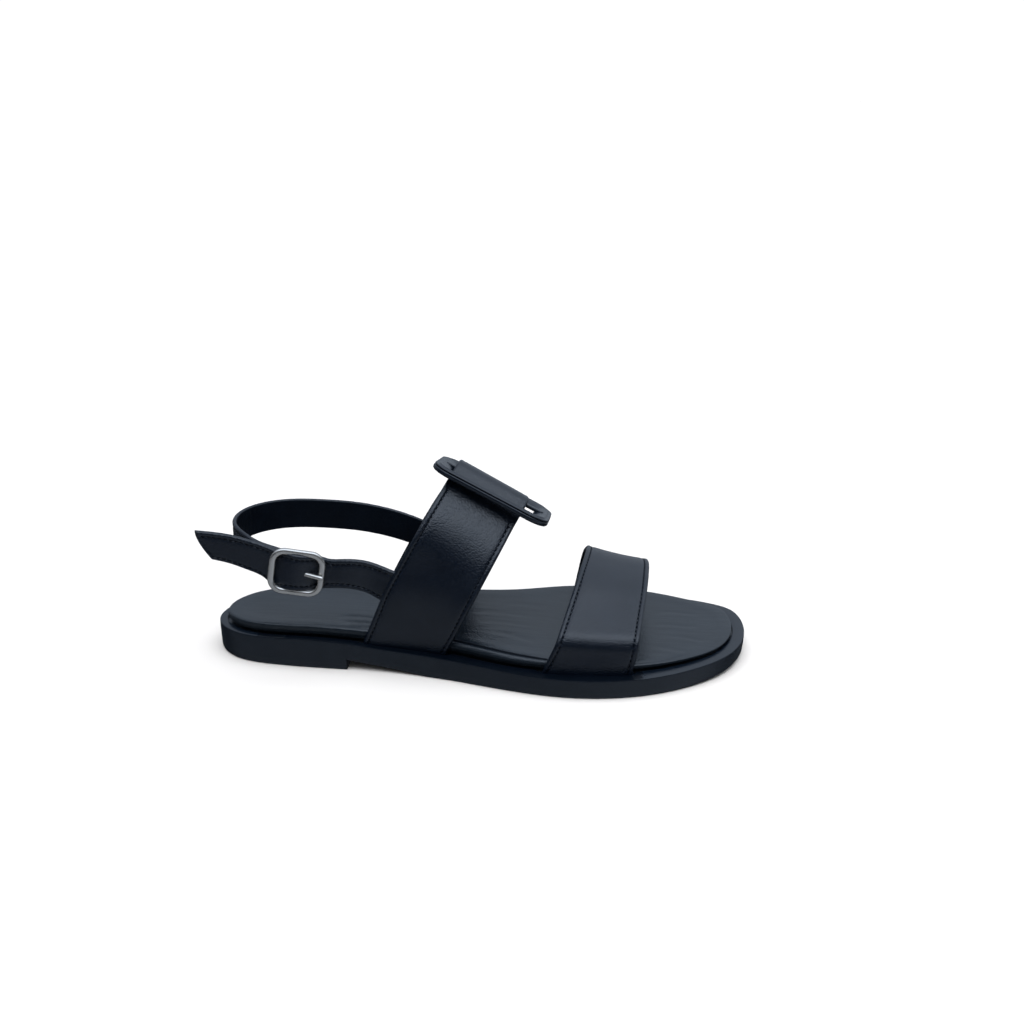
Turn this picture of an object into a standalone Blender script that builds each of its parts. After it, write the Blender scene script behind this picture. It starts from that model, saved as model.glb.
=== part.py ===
"""Flat slingback sandal for the right foot: moulded unit sole, wrapped footbed, two lasted straps,
a leather-covered instep buckle, and a sling strap fastened by a small metal buckle.

X runs from heel to toe, +Y towards the inner side of the foot, Z up from the floor.
Sizes are in millimetres and become metres when a mesh is made.
"""

import math

import bmesh
import bpy
import numpy as np
from mathutils import Matrix, Vector

MM = 0.001
FIT_GAP = 0.3
POCKET_GAP = 0.5
LASTING_GAP = 0.45

# Sole: one row per section, from the back of the heel to the tip of the toe.
# outer and inner are the sides of the sole, rim its top, and each ledge is the width of rim
# left showing beside the footbed, which rises bed_rise above it.
SOLE_COLUMNS = ("x", "outer", "inner", "rim", "outer_ledge", "inner_ledge", "bed_rise")
SOLE_SECTIONS = (
    (-129.5, -2.0, -2.0, 14.2, 4.2, 4.2, 4.4),
    (-126.0, -12.8, 9.5, 14.3, 4.2, 4.2, 4.5),
    (-115.5, -22.0, 19.8, 14.5, 4.1, 4.1, 4.7),
    (-99.0, -26.5, 25.8, 14.8, 3.8, 4.0, 4.9),
    (-75.0, -28.2, 28.6, 15.0, 4.0, 4.2, 5.1),
    (-45.0, -28.9, 29.2, 12.4, 6.0, 4.5, 5.5),
    (-15.0, -34.3, 30.0, 11.1, 7.3, 4.5, 5.5),
    (12.0, -42.6, 35.5, 10.0, 8.1, 4.2, 4.8),
    (35.0, -47.8, 44.8, 9.4, 8.6, 3.8, 3.9),
    (60.0, -48.2, 48.6, 9.3, 8.4, 3.9, 3.2),
    (82.0, -43.6, 46.6, 9.4, 7.6, 4.4, 2.6),
    (102.0, -33.3, 41.7, 9.7, 6.7, 5.7, 2.0),
    (116.5, -21.0, 35.3, 10.0, 6.2, 6.6, 1.6),
    (124.8, -5.5, 26.0, 10.3, 6.2, 6.5, 1.4),
    (127.3, 10.5, 10.5, 10.4, 6.2, 6.2, 1.3),
)
SOLE_STEPS = 44

# Side of the sole, from the floor up: distance in from the outline, and share of the height.
SOLE_WALL = (
    (1.6, 0.00),
    (0.7, 0.03),
    (0.35, 0.12),
    (0.05, 0.60),
    (0.0, 0.84),
    (0.35, 0.96),
    (1.3, 1.00),
)
SPRING_START_X = 78.0
TOE_SPRING = 2.6
BREAST_X = -63.0
ARCH_END_X = -42.0
ARCH_RISE = 4.4

# Footbed from its underside, round its edge and over its top.
BED_EDGE = (
    (2.6, 0.00),
    (1.0, 0.10),
    (0.1, 0.38),
    (0.0, 0.55),
    (0.5, 0.80),
    (1.6, 0.95),
    (3.6, 1.00),
    (9.0, 1.00),
    (15.0, 1.00),
)
HEEL_DISH = 1.2
HEEL_DISH_X = -85.0
HEEL_DISH_REACH = 45.0
ARCH_LIFT = 3.0
ARCH_LIFT_X = -20.0
ARCH_LIFT_REACH = 55.0
FORE_LIFT = 1.6
FORE_LIFT_X = 60.0
FORE_LIFT_REACH = 45.0

# Wide straps.
STRAP_WALL = 2.2
STRAP_LINES = (0.0, 0.03, 0.35, 0.65, 0.97, 1.0)
LASTING_MARGIN = 11.0
LASTING_BEND = 0.8
FOLD_STEPS = 7

# Instep strap: it lies square to a line that climbs the instep at INSTEP_LEAN. Rows run from the
# outer wall over the buckle to the inner wall: side is Y, up is measured square to that line, and
# each shift moves an edge along it.
INSTEP_LEAN = math.radians(28.0)
INSTEP_REAR = -55.5
INSTEP_FRONT = -19.2
INSTEP_COLUMNS = ("rear_side", "front_side", "rear_up", "front_up", "radius", "rear_shift", "front_shift")
INSTEP_FOLDS = (
    (-27.0, -34.5, 14.0, 32.0, 60.0, -2.6, -1.1),
    (-26.0, -27.5, 52.0, 52.0, 34.0, -2.9, -1.2),
    (-9.0, -13.0, 67.6, 67.4, 60.0, -0.7, -0.1),
    (2.0, -2.8, 76.4, 77.1, 3.5, 0.8, 1.4),
    (8.2, 3.4, 75.5, 76.2, 3.5, 1.6, 1.4),
    (16.0, 11.2, 64.6, 65.2, 5.0, 2.6, 1.0),
    (22.8, 21.8, 62.2, 62.2, 7.0, 2.0, 0.0),
    (26.8, 26.8, 46.0, 46.0, 25.0, 1.0, 0.0),
    (26.6, 26.6, 18.0, 28.0, 60.0, 0.0, 0.0),
)

# Vamp strap: the two edges at each fold, from the outer shoulder over the crest to the inner wall.
VAMP_OUTER_X = (29.0, 70.3)
VAMP_INNER_X = (43.0, 78.0)
VAMP_COLUMNS = ("rear_x", "rear_y", "rear_z", "front_x", "front_y", "front_z", "radius")
VAMP_FOLDS = (
    (36.0, -41.5, 25.5, 73.2, -39.5, 24.0, 7.0),
    (45.2, -10.0, 44.8, 78.0, -10.0, 38.6, 55.0),
    (49.2, 16.0, 47.4, 80.8, 15.0, 40.4, 40.0),
    (47.4, 44.7, 33.0, 79.0, 43.5, 28.0, 13.0),
)
VAMP_SAG = (0.0, 0.8, 1.1, 0.4)

# Covered buckle, placed on the instep line and turned down towards the inner side.
COVERED_LENGTH = 59.7
COVERED_WIDTH = 40.0
COVERED_CORNER = 9.5
COVERED_THICK = 4.0
COVERED_AT = (4.24, 2.6, 80.65)
COVERED_LEAN = math.radians(26.8)
COVERED_TURN = math.radians(-9.7)
COVERED_YAW = math.radians(-7.7)
COVERED_BAR = 8.5
COVERED_MID_BAR = (2.6, 1.8)
COVERED_MID_LIFT = 1.5

# Section of the covered bar: distance in from the outline, and share of half the thickness.
COVERED_SECTION = (
    (0.0, -0.30),
    (0.0, 0.35),
    (0.4, 0.78),
    (1.2, 1.00),
    (4.0, 0.94),
    (6.6, 0.60),
    (8.0, 0.15),
    (8.5, -0.25),
    (8.0, -0.60),
    (6.6, -0.88),
    (1.5, -1.00),
    (0.4, -0.72),
)

# Sling buckle: along runs forward on the strap, up across it, out away from the foot.
SLING_BUCKLE_AT = (-84.6, -27.5, 49.6)
SLING_BUCKLE_ALONG = (1.0, 0.10, -0.16)
FRAME_LENGTH = 25.6
FRAME_HEIGHT = 22.5
FRAME_CORNER = 7.0
FRAME_WIRE = 1.4
FRAME_OUT = 1.8
BAR_WIRE = 1.0
BAR_OUT = -1.4
PRONG_WIRE = 0.9
PRONG_END = 14.2
SLOT_HALF = 1.5

# Sling strap and tab strap.
SLING_WIDTH = 15.2
SLING_LINES = (0.0, 0.05, 0.95, 1.0)
SLING_WALL = 2.0
LOOP_WALL = 1.3
WALL_BITE = 1.0
SLING_SEWN = ((-26.0, 45.1), (-33.5, 48.5))
SLING_FREE = (
    (-50.0, 27.2, 53.3),
    (-65.0, 28.6, 55.5),
    (-81.0, 28.0, 56.8),
    (-97.0, 24.2, 58.1),
    (-110.0, 16.4, 58.6),
    (-117.0, 5.6, 58.4),
    (-117.0, -6.4, 57.9),
    (-110.5, -17.0, 57.1),
)

# Sling behind the buckle: place along it, height of the strap's middle, and distance behind the loop.
SLING_BEHIND = (
    (-17.0, 2.4, 1.4),
    (-10.0, 1.3, 0.7),
    (-4.0, 0.4, 0.0),
)
TAB_WALL = 2.2
TAB_UNDER_BAR = -2.1
TAB_HUMP = 4.1
TAB_HUMP_REACH = 11.0

# Tab strap on the outer wall (x, middle, width), free of it (x, y, middle, width), and from there
# through the buckle to its tip (along, middle, width).
TAB_SEWN = (
    (-33.0, 38.4, 20.0),
    (-39.5, 41.1, 18.8),
)
TAB_FREE = (
    (-52.0, -23.8, 46.2, 16.2),
    (-62.0, -25.2, 48.4, 14.6),
)
TAB_COURSE = (
    (13.0, 0.3, 15.2),
    (5.0, 0.0, 16.1),
    (0.0, 0.0, 16.2),
    (-5.0, 0.0, 16.1),
    (-8.5, 0.4, 15.6),
    (-12.7, 1.9, 15.2),
    (-17.0, 3.2, 15.2),
    (-23.8, 4.7, 14.7),
    (-29.7, 5.9, 14.1),
    (-38.9, 6.4, 13.0),
)
TAB_CLOSE_END = -15.0
TIP_CUT = 8.9
TIP_BOW = 1.6


def spline(knots, values):
    """Natural cubic spline through the values at the knots, as a function."""
    knots = np.asarray(knots, float)
    values = np.asarray(values, float)
    step = np.diff(knots)
    count = len(knots)
    matrix = np.eye(count)
    turns = np.zeros(count)
    for i in range(1, count - 1):
        matrix[i, i - 1 : i + 2] = step[i - 1], 2 * (step[i - 1] + step[i]), step[i]
        rise = (values[i + 1] - values[i]) / step[i]
        turns[i] = 6 * (rise - (values[i] - values[i - 1]) / step[i - 1])
    bend = np.linalg.solve(matrix, turns)

    def at(where):
        where = np.clip(where, knots[0], knots[-1])
        i = np.clip(np.searchsorted(knots, where) - 1, 0, count - 2)
        after = (where - knots[i]) / step[i]
        before = 1 - after
        curved = (before**3 - before) * bend[i] + (after**3 - after) * bend[i + 1]
        return before * values[i] + after * values[i + 1] + curved * step[i] ** 2 / 6

    return at


def curve_through(points, steps):
    """Smooth polyline through the points, with the same number of steps in each stretch."""
    points = np.asarray(points, float)
    along = np.concatenate([[0], np.cumsum(np.linalg.norm(np.diff(points, axis=0), axis=1))])
    stops = np.interp(np.arange((len(points) - 1) * steps + 1) / steps, np.arange(len(points)), along)
    return np.column_stack([spline(along, points[:, axis])(stops) for axis in range(3)])


def folded_line(corners, radii):
    """Polyline along the corners with each inner corner rounded to its radius."""
    corners = [Vector(corner) for corner in corners]
    line = [corners[0]]
    for before, corner, after, radius in zip(corners, corners[1:], corners[2:], radii):
        back = before - corner
        ahead = after - corner
        half = back.angle(ahead) / 2
        reach = min(radius / math.tan(half), 0.48 * back.length, 0.48 * ahead.length)
        radius = reach * math.tan(half)
        towards = (back.normalized() + ahead.normalized()).normalized()
        centre = corner + towards * radius / math.sin(half)
        first = corner + back.normalized() * reach - centre
        last = corner + ahead.normalized() * reach - centre
        for k in range(FOLD_STEPS):
            line.append(centre + first.slerp(last, k / (FOLD_STEPS - 1)) * radius)
    line.append(corners[-1])
    return np.array(line)


def around(x):
    """Angle that stands for a place along the sole, so that both ends come out round."""
    heel = SOLE_SECTIONS[0][0]
    toe = SOLE_SECTIONS[-1][0]
    return np.arccos(np.clip(1 - 2 * (x - heel) / (toe - heel), -1, 1))


SOLE_TABLE = np.array(SOLE_SECTIONS)
SOLE_CURVES = {
    name: spline(around(SOLE_TABLE[:, 0]), SOLE_TABLE[:, column])
    for column, name in enumerate(SOLE_COLUMNS)
}


def sole_at(name, x):
    return SOLE_CURVES[name](around(np.asarray(x, float)))


def ring_of(outer, inner):
    """One value per point of an outline that runs heel, outer side, toe, inner side."""
    return np.concatenate([outer, inner[-2:0:-1]])


def sole_outline():
    """Points of the outline, their outward directions and the ledge beside each."""
    heel = SOLE_SECTIONS[0][0]
    toe = SOLE_SECTIONS[-1][0]
    turn = np.linspace(0, math.pi, SOLE_STEPS + 1)
    x = heel + (toe - heel) * (1 - np.cos(turn)) / 2
    sides = ring_of(SOLE_CURVES["outer"](turn), SOLE_CURVES["inner"](turn))
    points = np.column_stack([ring_of(x, x), sides])
    way = np.roll(points, -1, axis=0) - np.roll(points, 1, axis=0)
    out = np.column_stack([way[:, 1], -way[:, 0]])
    out /= np.linalg.norm(out, axis=1)[:, None]
    ledge = ring_of(SOLE_CURVES["outer_ledge"](turn), SOLE_CURVES["inner_ledge"](turn))
    return points, out, ledge


OUTLINE, OUTWARD, LEDGE = sole_outline()
BED_OUTLINE = OUTLINE - LEDGE[:, None] * OUTWARD


def bed_edge(x, side):
    """Y of the footbed's edge at x on one side, -1 outer and 1 inner."""
    if side < 0:
        line = BED_OUTLINE[: SOLE_STEPS + 1]
    else:
        line = np.vstack([BED_OUTLINE[:1], BED_OUTLINE[: SOLE_STEPS - 1 : -1]])
    return np.interp(x, line[:, 0], line[:, 1])


def loft(rings, round_trip=False):
    """Closed mesh through rings of matching points. Each end ring is closed straight across, or the
    last ring joins the first."""
    shape = bmesh.new()
    loops = [[shape.verts.new(Vector(point) * MM) for point in ring] for ring in rings]
    size = len(loops[0])
    follow = [*loops[1:], loops[0]] if round_trip else loops[1:]
    for low, high in zip(loops, follow):
        for i in range(size):
            j = (i + 1) % size
            shape.faces.new((low[i], low[j], high[j], high[i]))
    for loop in () if round_trip else (loops[0], loops[-1]):
        for i in range(size // 2):
            rung = (loop[i], loop[i + 1], loop[(size - i - 1) % size], loop[(size - i) % size])
            shape.faces.new(tuple(dict.fromkeys(rung)))
    bmesh.ops.recalc_face_normals(shape, faces=shape.faces)
    return shape


def tube(points, radius, closed=False):
    """Round bar along the points, as a mesh."""
    curve = bpy.data.curves.new("bar", "CURVE")
    curve.dimensions = "3D"
    curve.bevel_depth = radius * MM
    curve.bevel_resolution = 2
    curve.use_fill_caps = not closed
    line = curve.splines.new("POLY")
    line.points.add(len(points) - 1)
    for point, place in zip(line.points, points):
        point.co = (*(Vector(place) * MM), 1.0)
    line.use_cyclic_u = closed
    guide = bpy.data.objects.new("bar", curve)
    bpy.context.scene.collection.objects.link(guide)
    graph = bpy.context.evaluated_depsgraph_get()
    mesh = bpy.data.meshes.new_from_object(guide.evaluated_get(graph))
    bpy.data.objects.remove(guide, do_unlink=True)
    shape = bmesh.new()
    shape.from_mesh(mesh)
    bpy.data.meshes.remove(mesh)
    bmesh.ops.remove_doubles(shape, verts=shape.verts, dist=0.001 * MM)
    bmesh.ops.recalc_face_normals(shape, faces=shape.faces)
    return shape


def band(lines, shares, wall, grow=0.0):
    """Strap with rounded edges: lines lie on its inner face, side by side across its width."""
    lines = np.array(lines, float)
    along = np.gradient(lines, axis=1)
    for end, sign in ((0, -1), (-1, 1)):
        lines[:, end] += sign * grow * along[:, end] / np.linalg.norm(along[:, end], axis=1)[:, None]
    across = np.gradient(lines, axis=0)
    out = np.cross(across, along)
    out /= np.linalg.norm(out, axis=2)[:, :, None]
    edge = across / np.linalg.norm(across, axis=2)[:, :, None] * grow
    wall = np.broadcast_to(wall, lines.shape[1])
    last = len(shares) - 1
    inside = range(1, last)
    rings = []
    for i in range(lines.shape[1]):
        low = lines[:, i] - out[:, i] * grow
        high = lines[:, i] + out[:, i] * (wall[i] + grow)
        ring = [(low[0] + high[0]) / 2 - edge[0, i]]
        ring += [high[k] + edge[k, i] * (2 * shares[k] - 1) for k in inside]
        ring.append((low[last] + high[last]) / 2 + edge[last, i])
        ring += [low[k] + edge[k, i] * (2 * shares[k] - 1) for k in reversed(inside)]
        rings.append(ring)
    return loft(rings)


def rounded_frame(length, width, radius, steps=5):
    """Centre line of a rounded rectangle, long side along X."""
    line = []
    for corner, (sx, sy) in enumerate(((1, 1), (-1, 1), (-1, -1), (1, -1))):
        for k in range(steps):
            angle = math.pi / 2 * (corner + k / (steps - 1))
            x = sx * (length / 2 - radius) + radius * math.cos(angle)
            y = sy * (width / 2 - radius) + radius * math.sin(angle)
            line.append((x, y, 0.0))
    return line


def add(name, shape, collection, matrix=None, tint=None, gloss=0.5, metal=0.0):
    """Puts a mesh in the scene as a named object."""
    if matrix is not None:
        bmesh.ops.transform(shape, matrix=matrix, verts=shape.verts)
    mesh = bpy.data.meshes.new(name)
    shape.to_mesh(mesh)
    shape.free()
    thing = bpy.data.objects.new(name, mesh)
    collection.objects.link(thing)
    if tint is None:
        thing.hide_render = True
        thing.display_type = "WIRE"
        return thing
    material = bpy.data.materials.new(name)
    material.use_nodes = True
    surface = material.node_tree.nodes["Principled BSDF"]
    surface.inputs["Base Color"].default_value = (*tint, 1.0)
    surface.inputs["Roughness"].default_value = gloss
    surface.inputs["Metallic"].default_value = metal
    mesh.materials.append(material)
    return thing


def combine(thing, tool, operation):
    step = thing.modifiers.new(tool.name, "BOOLEAN")
    step.operation = operation
    step.solver = "EXACT"
    step.object = tool


def sole_rings():
    rings = []
    for inset, share in SOLE_WALL:
        flat = OUTLINE - inset * OUTWARD
        lift = np.clip((flat[:, 0] - SPRING_START_X) / (OUTLINE[:, 0].max() - SPRING_START_X), 0, 1)
        floor = TOE_SPRING * lift**2
        rim = sole_at("rim", flat[:, 0])
        rings.append(np.column_stack([flat, floor + share * (rim - floor)]))
    return rings


def bed_contour(x, y):
    """Height of the heel hollow and the lifted inner side over the footbed's plain top."""
    half = (bed_edge(x, 1) - bed_edge(x, -1)) / 2
    mid = (bed_edge(x, 1) + bed_edge(x, -1)) / 2
    side = np.clip((y - mid) / np.maximum(half, 1.0), -1, 1)
    heel = np.exp(-(((x - HEEL_DISH_X) / HEEL_DISH_REACH) ** 2))
    arch = np.exp(-(((x - ARCH_LIFT_X) / ARCH_LIFT_REACH) ** 2))
    fore = np.exp(-(((x - FORE_LIFT_X) / FORE_LIFT_REACH) ** 2))
    lift = (ARCH_LIFT * arch + FORE_LIFT * fore) * np.clip(side, 0, 1) ** 2
    return lift - HEEL_DISH * heel * (1 - side**2)


def bed_rings():
    rings = []
    for inset, share in BED_EDGE:
        flat = BED_OUTLINE - inset * OUTWARD
        top = sole_at("bed_rise", flat[:, 0]) + bed_contour(flat[:, 0], flat[:, 1])
        rings.append(np.column_stack([flat, sole_at("rim", flat[:, 0]) + FIT_GAP + share * top]))
    return rings


def lasted_end(x, side):
    """Inner face of a strap end under the footbed: its free edge, then the bend beside the bed."""
    edge = bed_edge(x, side)
    rim = sole_at("rim", x)
    return (x, edge - side * LASTING_MARGIN, rim), (x, edge + side * LASTING_GAP, rim)


def instep_point(along, side, up):
    x = along * math.cos(INSTEP_LEAN) + up * math.sin(INSTEP_LEAN)
    z = up * math.cos(INSTEP_LEAN) - along * math.sin(INSTEP_LEAN)
    return x, side, z


def instep_lines():
    table = np.array(INSTEP_FOLDS)
    bends = [LASTING_BEND, *table[:, 4], LASTING_BEND]
    lines = []
    for share in STRAP_LINES:
        along = INSTEP_REAR + share * (INSTEP_FRONT - INSTEP_REAR)
        shifted = along + table[:, 5] + share * (table[:, 6] - table[:, 5])
        foot = along / math.cos(INSTEP_LEAN)
        for _ in range(3):
            foot = along / math.cos(INSTEP_LEAN) + float(sole_at("rim", foot)) * math.tan(INSTEP_LEAN)
        sides = table[:, 0] + share * (table[:, 1] - table[:, 0])
        ups = table[:, 2] + share * (table[:, 3] - table[:, 2])
        over = [instep_point(*fold) for fold in zip(shifted, sides, ups)]
        corners = [*lasted_end(foot, -1), *over, *reversed(lasted_end(foot, 1))]
        lines.append(folded_line(corners, bends))
    return np.array(lines)


def vamp_lines():
    table = np.array(VAMP_FOLDS)
    bends = [LASTING_BEND, *table[:, 6], LASTING_BEND]
    lines = []
    for share in STRAP_LINES:
        outer = VAMP_OUTER_X[0] + share * (VAMP_OUTER_X[1] - VAMP_OUTER_X[0])
        inner = VAMP_INNER_X[0] + share * (VAMP_INNER_X[1] - VAMP_INNER_X[0])
        over = table[:, 0:3] + share * (table[:, 3:6] - table[:, 0:3])
        over[:, 2] -= 4 * share * (1 - share) * np.array(VAMP_SAG)
        corners = [*lasted_end(outer, -1), *over, *reversed(lasted_end(inner, 1))]
        lines.append(folded_line(corners, bends))
    return np.array(lines)


INSTEP_LINES = instep_lines()


def wall_side(x, z, side):
    """Y of the instep strap's inner face at a place on its outer (-1) or inner (1) wall."""
    along = x * math.cos(INSTEP_LEAN) - z * math.sin(INSTEP_LEAN)
    share = (along - INSTEP_REAR) / (INSTEP_FRONT - INSTEP_REAR)
    found = []
    for line in INSTEP_LINES:
        middle = len(line) // 2
        wall = line[:middle] if side < 0 else line[:middle:-1]
        wall = wall[FOLD_STEPS:]
        found.append(np.interp(z, wall[:, 2], wall[:, 1]))
    return np.interp(share, STRAP_LINES, found)


ALONG = Vector(SLING_BUCKLE_ALONG).normalized()
OUT = ALONG.cross(Vector((0, 0, 1))).normalized()
UP = OUT.cross(ALONG)


def buckle_point(along, up, out):
    return tuple(Vector(SLING_BUCKLE_AT) + ALONG * along + UP * up + OUT * out)


def buckle_matrix():
    turn = Matrix((ALONG, UP, OUT)).transposed().to_4x4()
    return Matrix.Translation(Vector(SLING_BUCKLE_AT) * MM) @ turn


def tab_out(along):
    """Height of the tab strap's inner face as it passes under, over and under the bars."""
    near = np.clip(along / TAB_HUMP_REACH, -1, 1)
    return TAB_UNDER_BAR + TAB_HUMP * (1 + math.cos(math.pi * near)) / 2


def tab_lines():
    """Tab strap from the outer wall, through the buckle, to its free tip."""
    course = np.array(TAB_COURSE)[::-1]
    middle = spline(course[:, 0], course[:, 1])
    width = spline(course[:, 0], course[:, 2])
    tip = course[0, 0]
    stops = [*np.linspace(course[-1, 0], TAB_CLOSE_END, 15), -22.0, -30.0, tip]
    lines = []
    for share in SLING_LINES:
        line = []
        for x, z, wide in TAB_SEWN:
            z += (share - 0.5) * wide
            line.append((x, wall_side(x, z, -1) + TAB_WALL - WALL_BITE, z))
        for x, y, z, wide in TAB_FREE:
            line.append((x, y, z + (share - 0.5) * wide))
        for along in stops:
            up = middle(along) + (share - 0.5) * width(along)
            cut = TIP_CUT * (1 - (1 - share) ** TIP_BOW) * (along == tip)
            line.append(buckle_point(along - cut, up, tab_out(along)))
        lines.append(curve_through(line, 2))
    return np.array(lines)


def sling_lines():
    """Sling strap from the inner wall, round the heel, to its loop on the buckle's centre bar."""
    loop = BAR_WIRE + FIT_GAP + LOOP_WALL
    lines = []
    for share in SLING_LINES:
        up = (0.5 - share) * SLING_WIDTH
        line = []
        for x, z in SLING_SEWN:
            line.append((x, wall_side(x, z + up, 1) - SLING_WALL + WALL_BITE, z + up))
        line += [(x, y, z + up) for x, y, z in SLING_FREE]
        for along, middle, behind in SLING_BEHIND:
            line.append(buckle_point(along, middle + up, BAR_OUT - loop - behind))
        for turn in np.linspace(-90, 100, 9):
            angle = math.radians(turn)
            line.append(buckle_point(loop * math.cos(angle), up, BAR_OUT + loop * math.sin(angle)))
        lines.append(curve_through(line, 2))
    return np.array(lines)


def sling_walls(count):
    """Strap thickness along the sling, thinned for the loop at its end."""
    stretch = 2
    loop = 9 * stretch
    walls = np.full(count, SLING_WALL)
    walls[-loop - stretch :] = LOOP_WALL
    walls[-loop - 3 * stretch : -loop - stretch] = np.linspace(SLING_WALL, LOOP_WALL, 2 * stretch)
    return walls


def prong_line():
    """Prong: an eye round the centre bar, then a straight pin that rests on the front bar."""
    eye = BAR_WIRE + FIT_GAP + PRONG_WIRE
    rest = FRAME_OUT + FRAME_WIRE + FIT_GAP + PRONG_WIRE
    reach = FRAME_LENGTH / 2 - FRAME_WIRE
    slope = math.atan2(rest - BAR_OUT - eye, reach)
    line = []
    for angle in np.linspace(-math.radians(40), -1.5 * math.pi + slope, 12):
        line.append((eye * math.cos(angle), 0.0, BAR_OUT + eye * math.sin(angle)))
    foot = Vector(line[-1])
    way = Vector((math.cos(slope), 0, math.sin(slope)))
    pin = [foot + way * far for far in (4.0, 8.0, PRONG_END)]
    return line, [tuple(point) for point in pin]


def build():
    for thing in list(bpy.data.objects):
        bpy.data.objects.remove(thing, do_unlink=True)
    parts = bpy.data.collections.new("buckle_sandal")
    tools = bpy.data.collections.new("cutters")
    for collection in (parts, tools):
        bpy.context.scene.collection.children.link(collection)

    black_leather = {"tint": (0.015, 0.016, 0.018), "gloss": 0.5}
    grey_leather = {"tint": (0.05, 0.053, 0.057), "gloss": 0.6}
    rubber = {"tint": (0.012, 0.012, 0.013), "gloss": 0.7}
    steel = {"tint": (0.75, 0.76, 0.78), "gloss": 0.15, "metal": 1.0}

    # Sole and footbed.
    sole = add("outsole", loft(sole_rings()), parts, **rubber)
    add("footbed", loft(bed_rings()), parts, **grey_leather)

    wedge = [(BREAST_X, -2.0), (BREAST_X, ARCH_RISE), (ARCH_END_X, 0.0), (ARCH_END_X + 6.0, -2.0)]
    arch = loft([[(x, y, z) for x, z in wedge] for y in (-60.0, 60.0)])
    combine(sole, add("arch_cutter", arch, tools), "DIFFERENCE")

    # Straps, and the pockets in the sole that take their lasted ends.
    vamp = vamp_lines()
    add("vamp_strap", band(vamp, STRAP_LINES, STRAP_WALL), parts, **black_leather)
    upper = add("instep_strap", band(INSTEP_LINES, STRAP_LINES, STRAP_WALL), parts, **black_leather)
    for name, lines in (("vamp_pocket", vamp), ("instep_pocket", INSTEP_LINES)):
        pocket = band(lines, STRAP_LINES, STRAP_WALL, grow=POCKET_GAP)
        combine(sole, add(name, pocket, tools), "DIFFERENCE")

    sling = sling_lines()
    sling_band = band(sling, SLING_LINES, sling_walls(sling.shape[1]))
    combine(upper, add("sling_joint", sling_band, tools), "UNION")
    combine(upper, add("tab_joint", band(tab_lines(), SLING_LINES, TAB_WALL), tools), "UNION")

    # Prong, its hole in the tab and its slot in the sling's loop.
    place = buckle_matrix()
    eye, pin = prong_line()
    add("sling_buckle_prong", tube(eye + pin, PRONG_WIRE), parts, matrix=place, **steel)
    hole = add("prong_hole", tube([eye[-1], *pin], PRONG_WIRE + FIT_GAP), tools, matrix=place)
    combine(upper, hole, "DIFFERENCE")
    slot = bmesh.new()
    bmesh.ops.create_cube(slot, size=1.0)
    span = (8.4, 2 * SLOT_HALF, 2 * (BAR_WIRE + FIT_GAP + LOOP_WALL) + 1.0)
    slot_place = place @ Matrix.Translation(Vector((0.2, 0.0, BAR_OUT)) * MM)
    slot_place = slot_place @ Matrix.Diagonal((*(Vector(span) * MM), 1.0))
    combine(upper, add("prong_slot", slot, tools, matrix=slot_place), "DIFFERENCE")

    # Small frame with its centre bar, which dips below the frame to pass under the tab strap.
    thick = 2 * FRAME_WIRE
    wire = rounded_frame(FRAME_LENGTH - thick, FRAME_HEIGHT - thick, FRAME_CORNER - FRAME_WIRE)
    wire = [(x, y, FRAME_OUT) for x, y, _ in wire]
    frame = add("sling_buckle_frame", tube(wire, FRAME_WIRE, closed=True), parts, matrix=place, **steel)
    rail = FRAME_HEIGHT / 2 - FRAME_WIRE
    dip = [(rail, FRAME_OUT), (rail - 0.5, FRAME_OUT - 2.0), (rail - 1.5, BAR_OUT), (1.5 - rail, BAR_OUT)]
    dip += [(0.5 - rail, FRAME_OUT - 2.0), (-rail, FRAME_OUT)]
    bar = tube([(0.0, y, z) for y, z in dip], BAR_WIRE)
    combine(frame, add("sling_bar", bar, tools, matrix=place), "UNION")

    # Covered buckle: a flat bar bent to a rounded rectangle, with a bar across its middle.
    lean = Matrix.Rotation(COVERED_LEAN, 4, "Y") @ Matrix.Rotation(COVERED_TURN, 4, "X")
    lean = lean @ Matrix.Rotation(COVERED_YAW, 4, "Z")
    seat = Matrix.Translation(Vector(COVERED_AT) * MM) @ lean
    rings = []
    for inset, share in COVERED_SECTION:
        corner = max(COVERED_CORNER - inset, 1.0)
        rim = rounded_frame(COVERED_LENGTH - 2 * inset, COVERED_WIDTH - 2 * inset, corner, 6)
        rings.append([(x, y, share * COVERED_THICK / 2) for x, y, _ in rim])
    cover = add("covered_buckle", loft(rings, round_trip=True), parts, matrix=seat, **black_leather)
    middle = bmesh.new()
    bmesh.ops.create_cube(middle, size=1.0)
    size = Vector((COVERED_LENGTH - COVERED_BAR, *COVERED_MID_BAR)) * MM
    lift = Matrix.Translation(Vector((0.0, 0.0, COVERED_MID_LIFT)) * MM)
    bar_place = seat @ lift @ Matrix.Diagonal((*size, 1.0))
    combine(cover, add("covered_bar", middle, tools, matrix=bar_place), "UNION")


build()
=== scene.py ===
"""Dresses the flat slingback sandal: moulded sole, wrapped footbed, two lasted straps, covered buckle,
sling strap and small metal buckle, with turned edges, stitching, creases and leather grain.

X runs from heel to toe, +Y towards the inner side of the foot, Z up from the floor.
Shapes are worked out in millimetres and become metres when a mesh is made.
"""

import math

import bmesh
import bpy
import numpy as np
from mathutils import Matrix, Vector


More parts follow.
